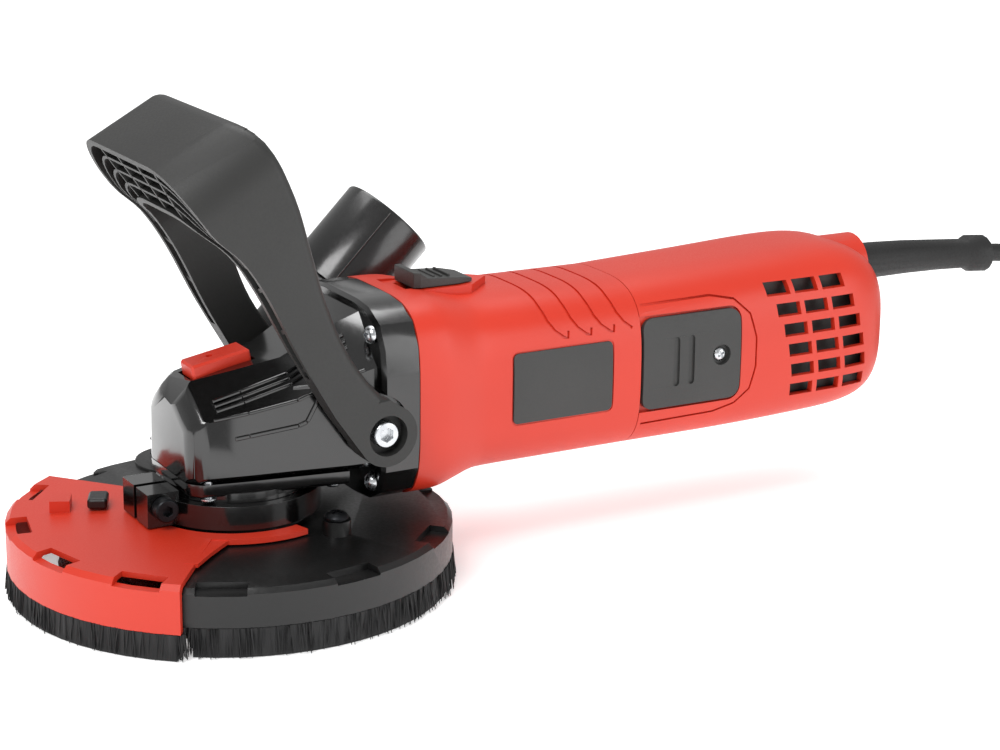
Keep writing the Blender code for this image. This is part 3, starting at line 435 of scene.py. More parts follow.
def prism(outline, axis, low, high):
    """An outline of two coordinates pushed along x, y or z from low to high."""
    order = {"x": lambda u, v, w: (w, u, v), "y": lambda u, v, w: (u, w, v),
             "z": lambda u, v, w: (u, v, w)}[axis]
    bm = bmesh.new()
    face = bm.faces.new([bm.verts.new(order(u, v, low)) for u, v in outline])
    grown = bmesh.ops.extrude_face_region(bm, geom=[face])["geom"]
    step = Vector(order(0, 0, high)) - Vector(order(0, 0, low))
    bmesh.ops.translate(bm, verts=[g for g in grown if isinstance(g, bmesh.types.BMVert)], vec=step)
    bmesh.ops.recalc_face_normals(bm, faces=bm.faces)
    return bm


def spun(profile, centre=(0, 0, 0), aim=(0, 0, 1), steps=96):
    """An outline of (radius, height) points turned round an axis; it closes on the axis or on itself."""
    bm = bmesh.new()
    rim = [bm.verts.new((radius, 0, height)) for radius, height in profile]
    for a, b in zip(rim, rim[1:]):
        bm.edges.new((a, b))
    if profile[0][0] > 0 and profile[-1][0] > 0:
        bm.edges.new((rim[-1], rim[0]))
    bmesh.ops.spin(bm, geom=bm.verts[:] + bm.edges[:], axis=(0, 0, 1), cent=(0, 0, 0), angle=math.tau,
                   steps=steps, use_merge=True)
    bmesh.ops.remove_doubles(bm, verts=bm.verts, dist=0.001)
    bmesh.ops.recalc_face_normals(bm, faces=bm.faces)
    turn = Vector(aim).to_track_quat("Z", "Y").to_matrix().to_4x4()
    bmesh.ops.transform(bm, matrix=Matrix.Translation(centre) @ turn, verts=bm.verts)
    return bm


def together(shapes):
    """Several bmeshes in one."""
    whole = bmesh.new()
    for shape in shapes:
        mesh = bpy.data.meshes.new("part_of_whole")
        shape.to_mesh(mesh)
        shape.free()
        whole.from_mesh(mesh)
        bpy.data.meshes.remove(mesh)
    return whole


def soften(bm, offset, wanted, segments, sharper=0.7):
    """Rounds the edges that are sharper than this angle and whose middle point passes the test."""
    chosen = [edge for edge in bm.edges if len(edge.link_faces) == 2 and edge.calc_face_angle(0) > sharper
              and wanted((edge.verts[0].co + edge.verts[1].co) / 2)]
    bmesh.ops.bevel(bm, geom=chosen, offset=offset, segments=segments, profile=0.5, affect="EDGES",
                    material=-1, clamp_overlap=False)
    bmesh.ops.remove_doubles(bm, verts=bm.verts, dist=MERGE)
    return bm


SIDES = (("left", -1), ("right", 1))
print("helpers ready for", len(nodes), "parts")

# %% [markdown]
# ## Inner parts
# The motor, gears, bearings and switch work are hardly seen, through the vents at most. Their
# measured shapes are right as they are, so they only take their finish.

# %% Finishes for the parts that keep their shape
KEPT = {
    GROUND: "spindle crown_gear pinion armature_shaft inner_flange flange_nut lock_spring",
    BEARING: "spindle_bush spindle_bearing armature_bearing_front armature_bearing_rear",
    LAMINATION: "armature_core stator",
    COPPER: "commutator",
    BRASS: "brush_holder_left brush_holder_right",
    CARBON: "carbon_brush_left carbon_brush_right",
    NYLON: "fan air_baffle switch_block",
    GREY: "switch_rod bearing_bracket",
}
for paint, names in KEPT.items():
    for name in names.split():
        nodes[name].data.materials.clear()
        nodes[name].data.materials.append(paint)
print("kept as measured:", sum(len(names.split()) for names in KEPT.values()))
lead.data.materials.append(RUBBER)

# %% [markdown]
# ## Motor body
# The body is moulded in two red parts that meet at a seam. The front part flares out to the gear
# case and carries four shallow bowed grooves over its back for the palm. The grooves are cut by
# thin curved slabs from which a slightly smaller body was taken away, so they stay 0.7 mm deep.

# %% Motor housing with its grooves
AXIS_Z = 64.0
GROOVE_DEPTH = 0.7


def skin_only(shape, body_copy):
    """What of a shape lies nearer the outside than the groove's depth."""
    share = 1 - GROOVE_DEPTH / 31.7
    bmesh.ops.translate(body_copy, verts=body_copy.verts, vec=(0, 0, -AXIS_Z))
    bmesh.ops.scale(body_copy, vec=(1, share, share), verts=body_copy.verts)
    bmesh.ops.translate(body_copy, verts=body_copy.verts, vec=(0, 0, AXIS_Z))
    return combine(shape, [body_copy])


def ribbon(path, width):
    """An outline that follows a path of (x, z) points, this wide."""
    left, right = [], []
    for index, (x, z) in enumerate(path):
        ahead = Vector(path[min(index + 1, len(path) - 1)]) - Vector(path[max(index - 1, 0)])
        side = Vector((-ahead.y, ahead.x)).normalized() * width / 2
        left.append((x + side.x, z + side.y))
        right.append((x - side.x, z - side.y))
    return left + right[::-1]


def solid_body():
    """The front body's outside as one closed lump, for trimming grooves."""
    stations = [(50, 36, 4.1), (68, 35.2, 4.0), (78, 32.4, 3.6), (86, 31.9, 3.4), (150, 31.7, 3.3)]
    return lofted([(x, half, half, AXIS_Z, power) for x, half, power in stations])


def superellipse_ring(bm, x, half_y, half_z, z, power, count):
    """A ring of vertices that lies between a circle and a square, across the motor's axis."""
    made = bmesh.ops.create_circle(bm, segments=count, radius=1)["verts"]
    for vert in made:
        angle = math.atan2(vert.co.y, vert.co.x)
        c, s = math.cos(angle), math.sin(angle)
        vert.co = (x, half_y * math.copysign(abs(c) ** (2 / power), c),
                   z + half_z * math.copysign(abs(s) ** (2 / power), s))
    return [edge for edge in bm.edges if edge.verts[0] in made and edge.verts[1] in made]


def lofted(stations, count=72):
    """Rings at each (x, half width, half height, centre height, power), bridged and capped."""
    bm = bmesh.new()
    rings = [superellipse_ring(bm, *station, count=count) for station in stations]
    for a, b in zip(rings, rings[1:]):
        bmesh.ops.bridge_loops(bm, edges=a + b)
    for end in (rings[0], rings[-1]):
        bmesh.ops.contextual_create(bm, geom=end)
    bmesh.ops.recalc_face_normals(bm, faces=bm.faces)
    return bm


def palm_grooves():
    """Four grooves over the back: each comes down in a bow, and the front three end in a small hook."""
    slabs = []
    for number in range(4):
        start = 107 + 9.6 * number
        path = [(start, 100), (start + 0.4, 92), (start + 1.8, 87), (start + 4.2, 83.5), (start + 7.5, 81)]
        if number < 3:
            path += [(start + 9.2, 80.6), (start + 9.6, 83)]
        slabs.append(skin_only(prism(ribbon(path, 1.0), "y", -40, 40), solid_body()))
    return slabs


def smoothed(stations, steps=5):
    """More stations on a smooth curve through the given ones."""
    ends = [stations[0], *stations, stations[-1]]
    made = []
    for a, b, c, d in zip(ends, ends[1:], ends[2:], ends[3:]):
        for i in range(steps):
            t = i / steps
            made.append(tuple(0.5 * (2 * q + (r - p) * t + (2 * p - 5 * q + 4 * r - s) * t * t
                                     + (3 * q - p - 3 * r + s) * t ** 3) for p, q, r, s in zip(a, b, c, d)))
    return made + [stations[-1]]


def shell_of(stations, past, wall=2.5):
    """A body hollowed from its front by a smaller copy, which ends this far past the body's own end."""
    last = stations[-1][0] + past
    inside = [(x, y - wall, z - wall, centre, power) for x, y, z, centre, power in stations if x < last]
    inside[0] = (stations[0][0] - 1, *inside[0][1:])
    inside[-1] = (last, *inside[-1][1:])
    return combine(lofted(stations, count=96), [lofted(inside, count=96)])


HOUSING_STATIONS = [(x, half, half, AXIS_Z, power) for x, half, power in
                    ((54.3, 35.7, 4.1), (62, 35.6, 4.1), (67, 35.2, 4.0), (74, 33.6, 3.8),
                     (80, 32.3, 3.6), (87, 31.9, 3.4), (110, 31.8, 3.35), (146.7, 31.7, 3.3))]
SCREW_Y, SCREW_RISE = 27.5, 26.5
FAR_OUT = 42


def motor_housing():
    """The shell with its front flange, switch pad, nameplate recesses, screw holes and palm grooves."""
    shell = shell_of(smoothed(HOUSING_STATIONS, 3), 1)
    front = combine(lofted([(x, 34.6, 34.6, AXIS_Z, 4.1) for x in (54.8, 60.3)], count=96),
                    [peg((50, 0, AXIS_Z), (64, 0, AXIS_Z), 28.5, sides=48)])
    pad = prism([(57, 10), (57, -10), (88, -10), (99, 0), (88, 10)], "z", 94.2, 98.8)
    combine(shell, [front, pad], "UNION")
    cuts = [block((59.5, -9, 98.7), (70, 9, 110)), block((64, -5, 90), (83, 5, 112))]
    for _, side in SIDES:
        cuts.append(rounded_plate((92.9, 50.9), (135.1, 78.1), 2.4, side * 31.0, side * FAR_OUT))
        cuts.append(rounded_plate((91.5, 49.5), (136.5, 79.5), 3.4, side * 31.75, side * FAR_OUT))
        for z in (AXIS_Z - SCREW_RISE, AXIS_Z + SCREW_RISE):
            cuts.append(peg((50, side * SCREW_Y, z), (59.6, side * SCREW_Y, z), 2.3))
    return combine(shell, cuts + palm_grooves())


def rounded_plate(low, high, radius, near, far):
    """A plate with rounded corners between two (x, z) corners, from one y to another."""
    left, right, bottom, top = low[0] + radius, high[0] - radius, low[1] + radius, high[1] - radius
    outline = []
    for (cx, cz), start in (((right, top), 0), ((left, top), 90), ((left, bottom), 180),
                            ((right, bottom), 270)):
        for step in range(0, 91, 15):
            angle = math.radians(start + step)
            outline.append((cx + radius * math.cos(angle), cz + radius * math.sin(angle)))
    return prism(outline, "y", min(near, far), max(near, far))


housing = finish_piece("motor_housing_shell", motor_housing(), "tool_body", RED,
                       ["motor_housing"], edge=0.3)
print("motor housing:", len(housing.data.polygons), "faces")

# %% [markdown]
# ## Rear cover, side plates and nameplate blank
# The cover holds the motor brushes behind grey plates and lets the cooling air in through rows of
# slanted slots. A flat dark sheet close behind them is painted shade inside the vents. Its end is
# drawn in like a bar of soap, so its stations come closer together there. The nameplate area is a
# plain grey blank.

# %% Rear cover
COVER_STATIONS = [(147, 31.7, 31.7, 64.0, 3.3), (190, 31.9, 32.6, 65.0, 3.3), (225, 31.6, 33.0, 66.3, 3.3),
                  (243, 30.8, 32.2, 66.6, 3.3), (254, 28.5, 29.5, 66.3, 3.3), (260.5, 24.5, 25, 66.0, 3.2),
                  (263.6, 19, 19.0, 66.0, 3.0), (264.4, 12.0, 12.0, 66.0, 2.8)]


def air_slots(side):
    """Six rows of three slots, the upper rows curving forwards and every slot's ends slanted."""
    made = []
    for row in range(6):
        for column in range(3):
            x = 214.4 - 0.48 * row ** 2 + 12.7 * column
            z = 45.5 + 8.0 * row
            outline = [(x + 0.5, z), (x + 11.1, z), (x + 10.3, z + 5), (x - 0.3, z + 5)]
            made.append(prism(outline, "y", min(side * 15, side * 41), max(side * 15, side * 41)))
    return made


def contour_groove(side):
    """The stepped line that runs round the side plate and closes in a bow behind it."""
    path = [(148.5, 88.0), (178, 88.6), (188, 86.5), (194.5, 80.5), (197.3, 71), (197.3, 60),
            (195, 51.5), (189, 46.5), (180, 44.2), (148.5, 43.6)]
    slab = prism(ribbon(path, 0.8), "y", min(side * 20, side * 41), max(side * 20, side * 41))
    return combine(slab, [lofted([(x, 31.7 - 0.75, 32.3 - 0.75, 64.6, 3.3) for x in (140, 205)])])


def rear_cover():
    """The shell with the boss for the cable sleeve, its air slots, plate recesses and contour lines."""
    shell = shell_of(smoothed(COVER_STATIONS, 4), -4.5)
    ledges = [rounded_plate((147.2, 46.8), (192.2, 85.7), 3, side * 26.4, side * 28.8) for _, side in SIDES]
    combine(shell, [peg((243, 0, 86), (263.2, 0, 86), 12, sides=64)] + ledges, "UNION")
    cuts = [peg((238, 0, 86), (257.5, 0, 86), 9.8), peg((255, 0, 86), (270, 0, 86), 7.7)]
    for _, side in SIDES:
        cuts += air_slots(side)
        cuts.append(rounded_plate((140, 48.2), (190.6, 84.3), 5.0, side * 28.9, side * FAR_OUT))
        cuts.append(contour_groove(side))
    return combine(shell, cuts)


cover = finish_piece("rear_cover_shell", rear_cover(), "tool_body", RED,
                     ["rear_cover"], edge=0.35)
# Painted shade: a flat dark charcoal sheet behind each side's slots stands in for the shade inside the vents.
PAINTED_SHADE_OUTLINE = [(202, 45), (251.5, 45), (251.5, 82), (241, 91), (202, 91)]
for name, side in SIDES:
    shade_plate = prism(PAINTED_SHADE_OUTLINE, "y", min(side * 23.4, side * 24.2), max(side * 23.4, side * 24.2))
    finish_piece(f"painted_vent_shade_{name}", shade_plate, "tool_body", CHARCOAL, edge=0)
print("rear cover:", len(cover.data.polygons), "faces")


# %% Plates let into the sides
def side_plate(low, high, radius, near, swell, side):
    """A plate whose outer face follows the body, half a millimetre proud."""
    plate = rounded_plate(low, high, radius, side * near, side * 40)
    body = lofted([(x, half + swell, half + swell, z, 3.3) for x, half, z in
                   ((90, 31.85, 64.0), (147, 31.7, 64.0), (200, 32.1, 65.2))])
    return combine(plate, [body], "INTERSECT")


for name, side in SIDES:
    plate = side_plate((147.6, 49.2), (189.9, 83.4), 4.4, 29.2, 0.45, side)
    cuts = [rounded_plate((x, 57), (x + 2.6, 75.5), 1.29, side * 31.4, side * 40) for x in (160.5, 167.0)]
    cuts.append(peg((181.5, side * 30.6, 66.5), (181.5, side * 40, 66.5), 3.9))
    finish_piece(f"brush_cover_plate_{name}", combine(plate, cuts), "tool_body", GREY,
                 [f"brush_cover_{name}"], edge=0.5)
    finish_piece(f"nameplate_blank_{name}", side_plate((93.5, 51.5), (134.5, 77.5), 2.0, 31.1, 0.3, side),
                 "tool_body", GREY, [f"badge_{name}"], edge=0.3)

# %% [markdown]
# ## Slide switch
# A dark thumb slide on a stem: raised at the front, hollowed behind, with three fine bars for grip.

# %% Slide switch
def grip_bars():
    return together([block((x, -6, 100.5), (x + 0.9, 6, 102.7)) for x in (74.5, 77.5, 80.5)])


slide = together([from_frame("slide_switch"), grip_bars()])
finish_piece("slide_switch_cap", slide, "switch_slider", GREY, ["slide_switch"], edge=0.6)

# %% [markdown]
# ## Gear case
# The case is a pressure casting under gloss enamel. Ribs stiffen its shoulders and the bolt pockets
# show bare zinc screws. Its edges are rounder than the plastic's, which gives long bright lines.

# %% Gear case and its ribs
def bar_between(start, end, width, tall):
    """A small rib with a square section between two points, standing on the surface."""
    start, end = Vector(start), Vector(end)
    bm = bmesh.new()
    size = Matrix.Diagonal((width, tall, (end - start).length, 1))
    aim = (end - start).to_track_quat("Z", "Y").to_matrix().to_4x4()
    bmesh.ops.create_cube(bm, size=1, matrix=Matrix.Translation((start + end) / 2) @ aim @ size)
    return bm


# Each section of the case: x, half width, height of the shoulder's fold, half width and height of the top.
CASE_SECTIONS = [(-25, 17, 62, 7, 69), (-21.5, 21.5, 65, 8.5, 75.3), (-5, 24.5, 67, 10, 79.0),
                 (12, 27, 70, 12, 82.0), (30, 30, 77, 14, 91.5), (42, 31, 80, 17, 97)]
RIB_CLIMB = 0.3


def on_case(x, up, side):
    """A point on the case: up runs from 0 to 1 over the shoulder, and below 0 it is mm down the wall."""
    for a, b in zip(CASE_SECTIONS, CASE_SECTIONS[1:]):
        if a[0] <= x <= b[0]:
            _, half, low, flat, top = (p + (q - p) * (x - a[0]) / (b[0] - a[0]) for p, q in zip(a, b))
            if up < 0:
                return Vector((x, side * half, low + up))
            return Vector((x, side * (half + (flat - half) * up), low + (top - low) * up))


def rib_along(points, side, width, tall):
    """Short bars end to end through (x, up) points on the case."""
    path = [on_case(x, up, side) for x, up in points]
    return [bar_between(a, b, width, tall) for a, b in zip(path, path[1:])]


def case_ribs():
    """Three slanting lines on each shoulder, a hooked line on the wall and one along the fold."""
    hooked = [(-10, -7.5), (-5, -7.5), (12, -8.5), (15, -8.5), (20, -1), (19, 0.12), (12, 0.3)]
    shapes = []
    for _, side in SIDES:
        for up in (0.22, 0.34, 0.46):
            slanting = [(x, up + RIB_CLIMB * (x + 15) / 48) for x in (-15, -5, 12, 30, 33)]
            shapes += rib_along(slanting, side, 1.1, 1.3)
        shapes += rib_along(hooked, side, 1.3, 1.5)
        shapes += rib_along([(x, 0.03) for x in (-17, -5, 12, 30, 36)], side, 1.1, 1.2)
    return shapes


def rounded_case():
    """The casting with its front corners and shoulder edges well rounded."""
    casting = from_frame("gear_case")
    return soften(casting, 3.0, lambda p: p.x < -17 and 46 < p.z < 76 and abs(p.y) > 7, 5, 0.3)


case = finish_piece("gear_case_casting", rounded_case(), "tool_body", ENAMEL,
                    ["gear_case"], edge=0.9, segments=3)
ribs = finish_piece("gear_case_ribs", together(case_ribs()), "tool_body", ENAMEL, edge=0.4)


def bearing_cover():
    """The plate under the gear case, with its neck; its outline carries on the case's own."""
    right = [(-25, 16.6), (-21.5, 21), (-5, 24.1), (12, 26.6), (30, 29.4)]
    plate = prism(right + [(x, -y) for x, y in reversed(right)], "z", 38.3, 43.2)
    soften(plate, 1.6, lambda p: p.z < 38.4 or (p.x < -18 and 39 < p.z < 43), 3, 0.2)
    combine(plate, [spun([(0, 23.4), (25, 23.4), (25.8, 24.2), (25.8, 39.5), (0, 39.5)])], "UNION")
    return combine(plate, [peg((0, 0, 26.2), (0, 0, 50), 16.3), peg((0, 0, 20), (0, 0, 30), 7.5)])


finish_piece("bearing_cover_casting", bearing_cover(), "tool_body", ENAMEL,
             ["bearing_cover"], edge=0.3)
print("gear case:", len(case.data.polygons), "faces and", len(ribs.data.polygons), "rib faces")

# %% Spindle lock bar
lock = combine(from_frame("spindle_lock"), [peg((-9, 0, 81.5), (-9, 0, 90), 1.2)])
finish_piece("spindle_lock_bar", lock, "lock_button", RED, ["spindle_lock"],
             edge=0.7, segments=3)

# %% [markdown]
# ## Screws
# Cross-recess pan heads hold the castings, hexagon-socket bolts the handle and the collar. Each head
# is turned from its outline, and then the driver's recess is cut into it.

# %% Screw heads
def facing(head, place, aim, spin=0.0):
    """Turns a head that points up so that it points along aim, and puts it in place."""
    turn = Vector(aim).to_track_quat("Z", "Y").to_matrix().to_4x4() @ Matrix.Rotation(spin, 4, "Z")
    bmesh.ops.transform(head, matrix=Matrix.Translation(place) @ turn, verts=head.verts)
    return head


def cross_head(place, aim, radius, tall):
    """A domed head with a cross recess, and a short shank below it."""
    profile = [(0, tall), (radius * 0.45, tall * 0.96), (radius * 0.8, tall * 0.72), (radius, tall * 0.3),
               (radius, 0), (radius * 0.6, 0), (radius * 0.6, -6), (0, -6)]
    long, thin, floor = radius * 0.55, 0.28 * radius / 2, tall * 0.45
    slots = [block((-x, -y, floor), (x, y, tall + 1)) for x, y in ((long, thin), (thin, long))]
    return facing(combine(spun(profile, steps=40), slots), place, aim, 0.5)


def socket_head(place, aim, radius, tall, key, shank):
    """A cylinder head with a hexagon socket."""
    profile = [(0, tall), (radius - 0.5, tall), (radius, tall - 0.5), (radius, 0), (radius * 0.6, 0),
               (radius * 0.6, -shank), (0, -shank)]
    head = combine(spun(profile, steps=48), [peg((0, 0, tall - 2.4), (0, 0, tall + 1), key, sides=6)])
    return facing(head, place, aim)


def screw(name, head, paint, stands_for, edge=0.12):
    finish_piece(name, head, "tool_body", paint, [stands_for], edge=edge)


CASE_SCREWS = [(side * SCREW_Y, AXIS_Z + rise) for side in (-1, 1) for rise in (SCREW_RISE, -SCREW_RISE)]
for number, (y, z) in enumerate(CASE_SCREWS, 1):
    screw(f"gear_case_screw_head_{number}", cross_head((39.7, y, z), (-1, 0, 0), 3.2, 2.6), ZINC,
          f"gear_case_screw_{number}")
for number in range(1, 5):
    low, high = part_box(f"bearing_cover_screw_{number}")
    middle = PLACE.inverted() @ ((low + high) / 2)
    screw(f"bearing_cover_screw_head_{number}", cross_head((middle.x, middle.y, 38), (0, 0, -1), 3.0, 1.8),
          ZINC, f"bearing_cover_screw_{number}")
for name, side in SIDES:
    bolt = socket_head((37.5, side * 39.9, 59), (0, side, 0), 4.7, 3.5, 2.6, 12)
    screw(f"handle_bolt_socket_{name}", bolt, ZINC, f"handle_bolt_{name}", edge=0.2)
    low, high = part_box(f"brush_cover_screw_{name}")
    face = PLACE.inverted() @ (low if side < 0 else high)
    head = cross_head((181.5, face.y - side * 1.4, 66.5), (0, side, 0), 2.6, 1.4)
    screw(f"brush_cover_screw_head_{name}", head, ZINC, f"brush_cover_screw_{name}")
screw("clamp_screw_socket", socket_head((-32, -11.8, 34.3), (0, -1, 0), 4.2, 4.6, 2.0, 22), OXIDE,
      "clamp_screw", edge=0.2)
screw("shroud_screw_head", cross_head((21.5, -36.5, 29.7), (0, 0, 1), 4.2, 2.6), OXIDE,
      "shroud_screw")
print("screws done")

# %% [markdown]
# ## Hoop handle
# The handle is one thick-looking moulding that is really a shell: behind the smooth grip the front
# is open and stiffened by webs. The webs are made as long prisms along the handle's own slope and
# trimmed by the handle's side outline, moved a little, so that they end just behind the open face.

# %% Handle and its webs
SLOPE = math.radians(29)
ALONG = Vector((math.cos(SLOPE), 0, math.sin(SLOPE)))
TO_HANDLE = Matrix.Rotation(-SLOPE, 4, "Y")
PIVOT_X, PIVOT_Z, EYE_R = 37.5, 59.0, 11.0
REAR_LINE = [(-12.5, 169.4), (-4.5, 163), (4.5, 144.5), (9.7, 127), (15, 108.8), (22.7, 90.7),
             (33, 76), (42, 69)]
FRONT_LINE = [(17.5, 68.2), (4.5, 90.7), (-6, 111.4), (-15, 125), (-26, 135.5), (-39.5, 155.5)]


def turned_points(radius, first, last, count, centre=(0, 0)):
    """Points along an arc, angles in degrees."""
    angles = [math.radians(first + (last - first) * i / (count - 1)) for i in range(count)]
    return [(centre[0] + radius * math.cos(a), centre[1] + radius * math.sin(a)) for a in angles]


def hoop_outline(inset):
    """Half of the hoop's outer edge, seen along its slope, as (y, up) points from foot to top."""
    foot = smoothed([(44.3 - inset, 8), (45.0 - inset, 60), (45.8 - inset, 110)], 3)
    return foot + turned_points(21 - inset, 4, 87, 12, (24.8, 133.9))


def hoop_opening(inset):
    """Half of the opening under the grip, in the same way."""
    foot = smoothed([(36.3 + inset, 4), (36.0 + inset, 60), (34 + inset, 90), (33 + inset, 104)], 3)
    return foot + turned_points(22 + inset, 6, 90, 10, (11, 108))


def side_view(shift=0.0):
    """The handle's outline seen from the side, moved along its slope and made as wide as the tool."""
    outline = smoothed(REAR_LINE, 4) + turned_points(EYE_R, 50, -150, 20, (PIVOT_X, PIVOT_Z))
    outline += smoothed(FRONT_LINE, 4)
    move = ALONG * shift
    return prism([(x + move.x, z + move.z) for x, z in outline], "y", -60, 60)


def along_slope(outline):
    """A prism of (y, up) points pushed along the handle's slope."""
    web = prism(outline, "x", -40, 130)
    bmesh.ops.transform(web, matrix=TO_HANDLE, verts=web.verts)
    return web


def both_halves(half):
    """A half outline and its mirror image, as one."""
    return half + [(-y, v) for y, v in reversed(half)]


def to_line(point, line):
    """How far an (x, z) point is from a line of points."""
    best = 1e9
    for a, b in zip(line, line[1:]):
        a, b = Vector(a), Vector(b)
        share = min(max((point - a).dot(b - a) / (b - a).length_squared, 0), 1)
        best = min(best, (a.lerp(b, share) - point).length)
    return best


def hoop_pocket(wall, shift):
    """The hollow behind the open front, this far inside the outer skin."""
    pocket = combine(along_slope(both_halves(hoop_outline(wall))), [side_view(shift)], "INTERSECT")
    round_the_eyes = block((-10, -60, 20), (90, 60, 82))
    return combine(pocket, [along_slope(both_halves(hoop_opening(wall))), round_the_eyes])


def across_pivot(side, near, far, radius, sides=32):
    """A round bar on the handle's own axis, from one distance off the middle to another."""
    return peg((PIVOT_X, side * near, PIVOT_Z), (PIVOT_X, side * far, PIVOT_Z), radius, sides)


def hoop_handle():
    """The moulding: hoop, opening, open front and bored eyes, with the grip's rear edges rounded."""
    rear = smoothed(REAR_LINE, 4)
    body = combine(along_slope(both_halves(hoop_outline(0))), [side_view()], "INTERSECT")
    combine(body, [along_slope(both_halves(hoop_opening(0))), hoop_pocket(2.6, -3.4)])
    for _, side in SIDES:
        combine(body, [across_pivot(side, 33.3, 44.2, EYE_R - 0.1, 64)], "UNION")
        combine(body, [across_pivot(side, 25, 60, 3.3), across_pivot(side, 39.6, 60, 7.2, 48)])

    def on_rear(point, outer):
        up = point.z * math.cos(SLOPE) - point.x * math.sin(SLOPE)
        return (to_line(Vector((point.x, point.z)), rear) < 0.5 and point.z > 72
                and (abs(point.y) > 40 or up > 143) == outer)

    soften(body, 3.2, lambda point: on_rear(point, True), 4)
    soften(body, 1.4, lambda point: on_rear(point, False), 3)
    return body


def handle_web(outline):
    """A web with this (y, up) outline, kept inside the handle's open front."""
    return combine(along_slope(outline), [hoop_pocket(2.2, -3.0), side_view(0.7)], "INTERSECT")


def hoop_path(share):
    """A line round the hoop, at this share of the way from its outer edge to its inner edge."""
    half, top, corner = 43.8 - 9.6 * share, 153.2 - 21.5 * share, 19 + 3 * share
    right = [(half, 112)] + turned_points(corner, 0, 90, 9, (half - corner, top - corner))
    return both_halves(right)


def handle_webs():
    """Three ribs along the hoop, four across the grip and four across each leg."""
    outlines = [ribbon(hoop_path(share), 1.2) for share in (0.26, 0.5, 0.74)]
    outlines += [ribbon([(y * 0.9, 130.8), (y * 1.12, 153.6)], 1.2) for y in (-22, -8, 8, 22)]
    for _, side in SIDES:
        for level, lean in ((118, 4), (103, 3), (86, 3), (70, 3)):
            outlines.append(ribbon([(side * 32, level - lean), (side * 48, level + lean)], 1.5))
    return [handle_web(outline) for outline in outlines]


handle = finish_piece("hoop_handle", hoop_handle(), "bail_handle", CHARCOAL, ["handle"],
                      edge=0.7, segments=3)
webs = finish_piece("hoop_handle_webs", together(handle_webs()), "bail_handle", CHARCOAL,
                    edge=0)
print("handle:", len(handle.data.polygons), "faces,", len(webs.data.polygons), "web faces")

# %% [markdown]
# ## Shroud
# The fixed rear half is black and the hinged front segment red. Square windows are cut through the
# shoulder where air is drawn in. The collar and its lugs clamp the shroud to the neck of the case.

# %% Shroud, segment, collar and latch
finish_piece("shroud_rear_shell", from_frame("shroud_rear"), "tool_body", SATIN,
             ["shroud_rear"], edge=0.6, segments=3)
finish_piece("shroud_segment_shell", from_frame("shroud_front"), "shroud_segment", RED,
             ["shroud_front"], edge=0.6, segments=3)
finish_piece("clamp_collar_ring", from_frame("clamp_collar"), "tool_body", ENAMEL,
             ["clamp_collar"], edge=0.5)
finish_piece("segment_latch_button", from_frame("release_latch"), "segment_latch", SATIN,
             ["release_latch"], edge=0.4)
print("shroud done")

# %% Vacuum outlet
MOUTH = Vector((92, 63.5, 108.5))
OUTLET_AXIS = Vector((1, 0, 1)).normalized()
NIB_HALF = Vector((1.6, 1.5, 1.6))
SEAM_SIDE = Vector((-7, -17.6, 7)) * 0.97
pipe_profile = [(18.8, -36), (18.8, -1.0), (18.3, -0.2), (17.6, 0), (16.9, -0.2), (16.4, -0.9), (16.4, -36)]
pipe = spun(pipe_profile, MOUTH, OUTLET_AXIS)
nib_place = MOUTH + Vector((1, 0, -1)).normalized() * 18.6 - OUTLET_AXIS * 1.6
nib = block(nib_place - NIB_HALF, nib_place + NIB_HALF)
seam = bar_between(MOUTH - OUTLET_AXIS * 35 + SEAM_SIDE, MOUTH - OUTLET_AXIS * 1.5 + SEAM_SIDE, 0.5, 0.5)
finish_piece("vacuum_outlet", together([pipe, nib, seam]), "hose_adaptor", GLOSS,
             ["dust_adaptor"], edge=0.2)
print("vacuum outlet done")

# %% [markdown]
# ## Brush rings
# Thousands of crimped nylon bristles close the gap to the floor. A dense streaked core carries the
# colour, and loose tapered bristles with a few sides stand round it at slightly different slants
# and lengths, so that the lower edge looks brushed and uneven.

# %% Bristles
random.seed(11)


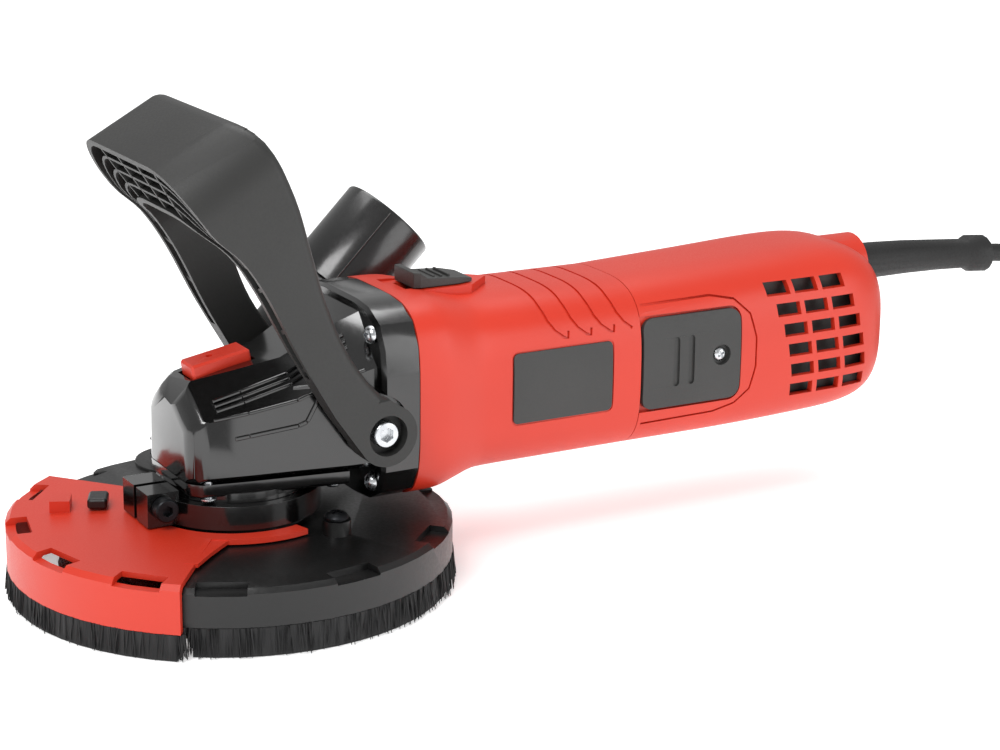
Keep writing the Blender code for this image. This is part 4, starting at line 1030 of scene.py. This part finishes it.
def bristles(count, inner, outer, first, last, top, spread):
    """Tapered bristles between two radii and two angles, from this height to the floor."""
    bm = bmesh.new()
    for _ in range(count):
        angle = math.radians(random.uniform(first, last))
        radius = random.uniform(inner, outer)
        lean = spread * (radius - (inner + outer) / 2) / (outer - inner) + random.uniform(-0.5, 0.5)
        foot_angle = angle + random.uniform(-0.014, 0.014)
        reach = radius + lean
        foot = Vector((reach * math.cos(foot_angle), reach * math.sin(foot_angle), random.uniform(0.05, 1.4)))
        root = Vector((radius * math.cos(angle), radius * math.sin(angle), top))
        aim = (foot - root).to_track_quat("Z", "Y").to_matrix().to_4x4()
        bmesh.ops.create_cone(bm, cap_ends=True, segments=3, radius1=0.32, radius2=0.16,
                              depth=(foot - root).length, matrix=Matrix.Translation((foot + root) / 2) @ aim)
    return bm


rear_row = together([from_frame("brush_ring_rear"), bristles(2350, 68.8, 76.2, -129, 129, 10.4, 2.4)])
finish_piece("bristle_row_rear", rear_row, "tool_body", BRISTLE, ["brush_ring_rear"], edge=0)
front_row = together([from_frame("brush_ring_front"), bristles(1250, 76.6, 79.9, 125.2, 234.8, 9.4, 1.4)])
finish_piece("bristle_row_front", front_row, "shroud_segment", BRISTLE,
             ["brush_ring_front"], edge=0)
print("bristles done")

# %% [markdown]
# ## Cup wheel, sleeve and plug
# The wheel is a pressed steel cup with a ring of sintered diamond segments. The sleeve keeps the
# lead from kinking, and the plug lies beside the coil.

# %% Cup wheel, cable sleeve and plug
SEGMENTS = 16
finish_piece("cup_wheel_body", from_frame("cup_wheel"), "drive_spindle", GROUND,
             ["cup_wheel"], edge=0.3)
grit = []
for number in range(SEGMENTS):
    segment = prism([(52.3, -7.6), (62.2, -9.6), (62.2, 7.6), (52.3, 6.2)], "z", 1.0, 4.5)
    turn = Matrix.Rotation(math.tau * number / SEGMENTS, 3, "Z")
    bmesh.ops.rotate(segment, verts=segment.verts, matrix=turn)
    grit.append(segment)
finish_piece("diamond_segments", together(grit), "drive_spindle", GRIT, edge=0.3)
finish_piece("cable_sleeve", from_frame("strain_relief"), "tool_body", RUBBER,
             ["strain_relief"], edge=0.4, smooth=40)
plug = finish_piece("mains_plug", from_frame("plug"), "tool_body", RUBBER, ["plug"], edge=0.5)
print("wheel, sleeve and plug done")
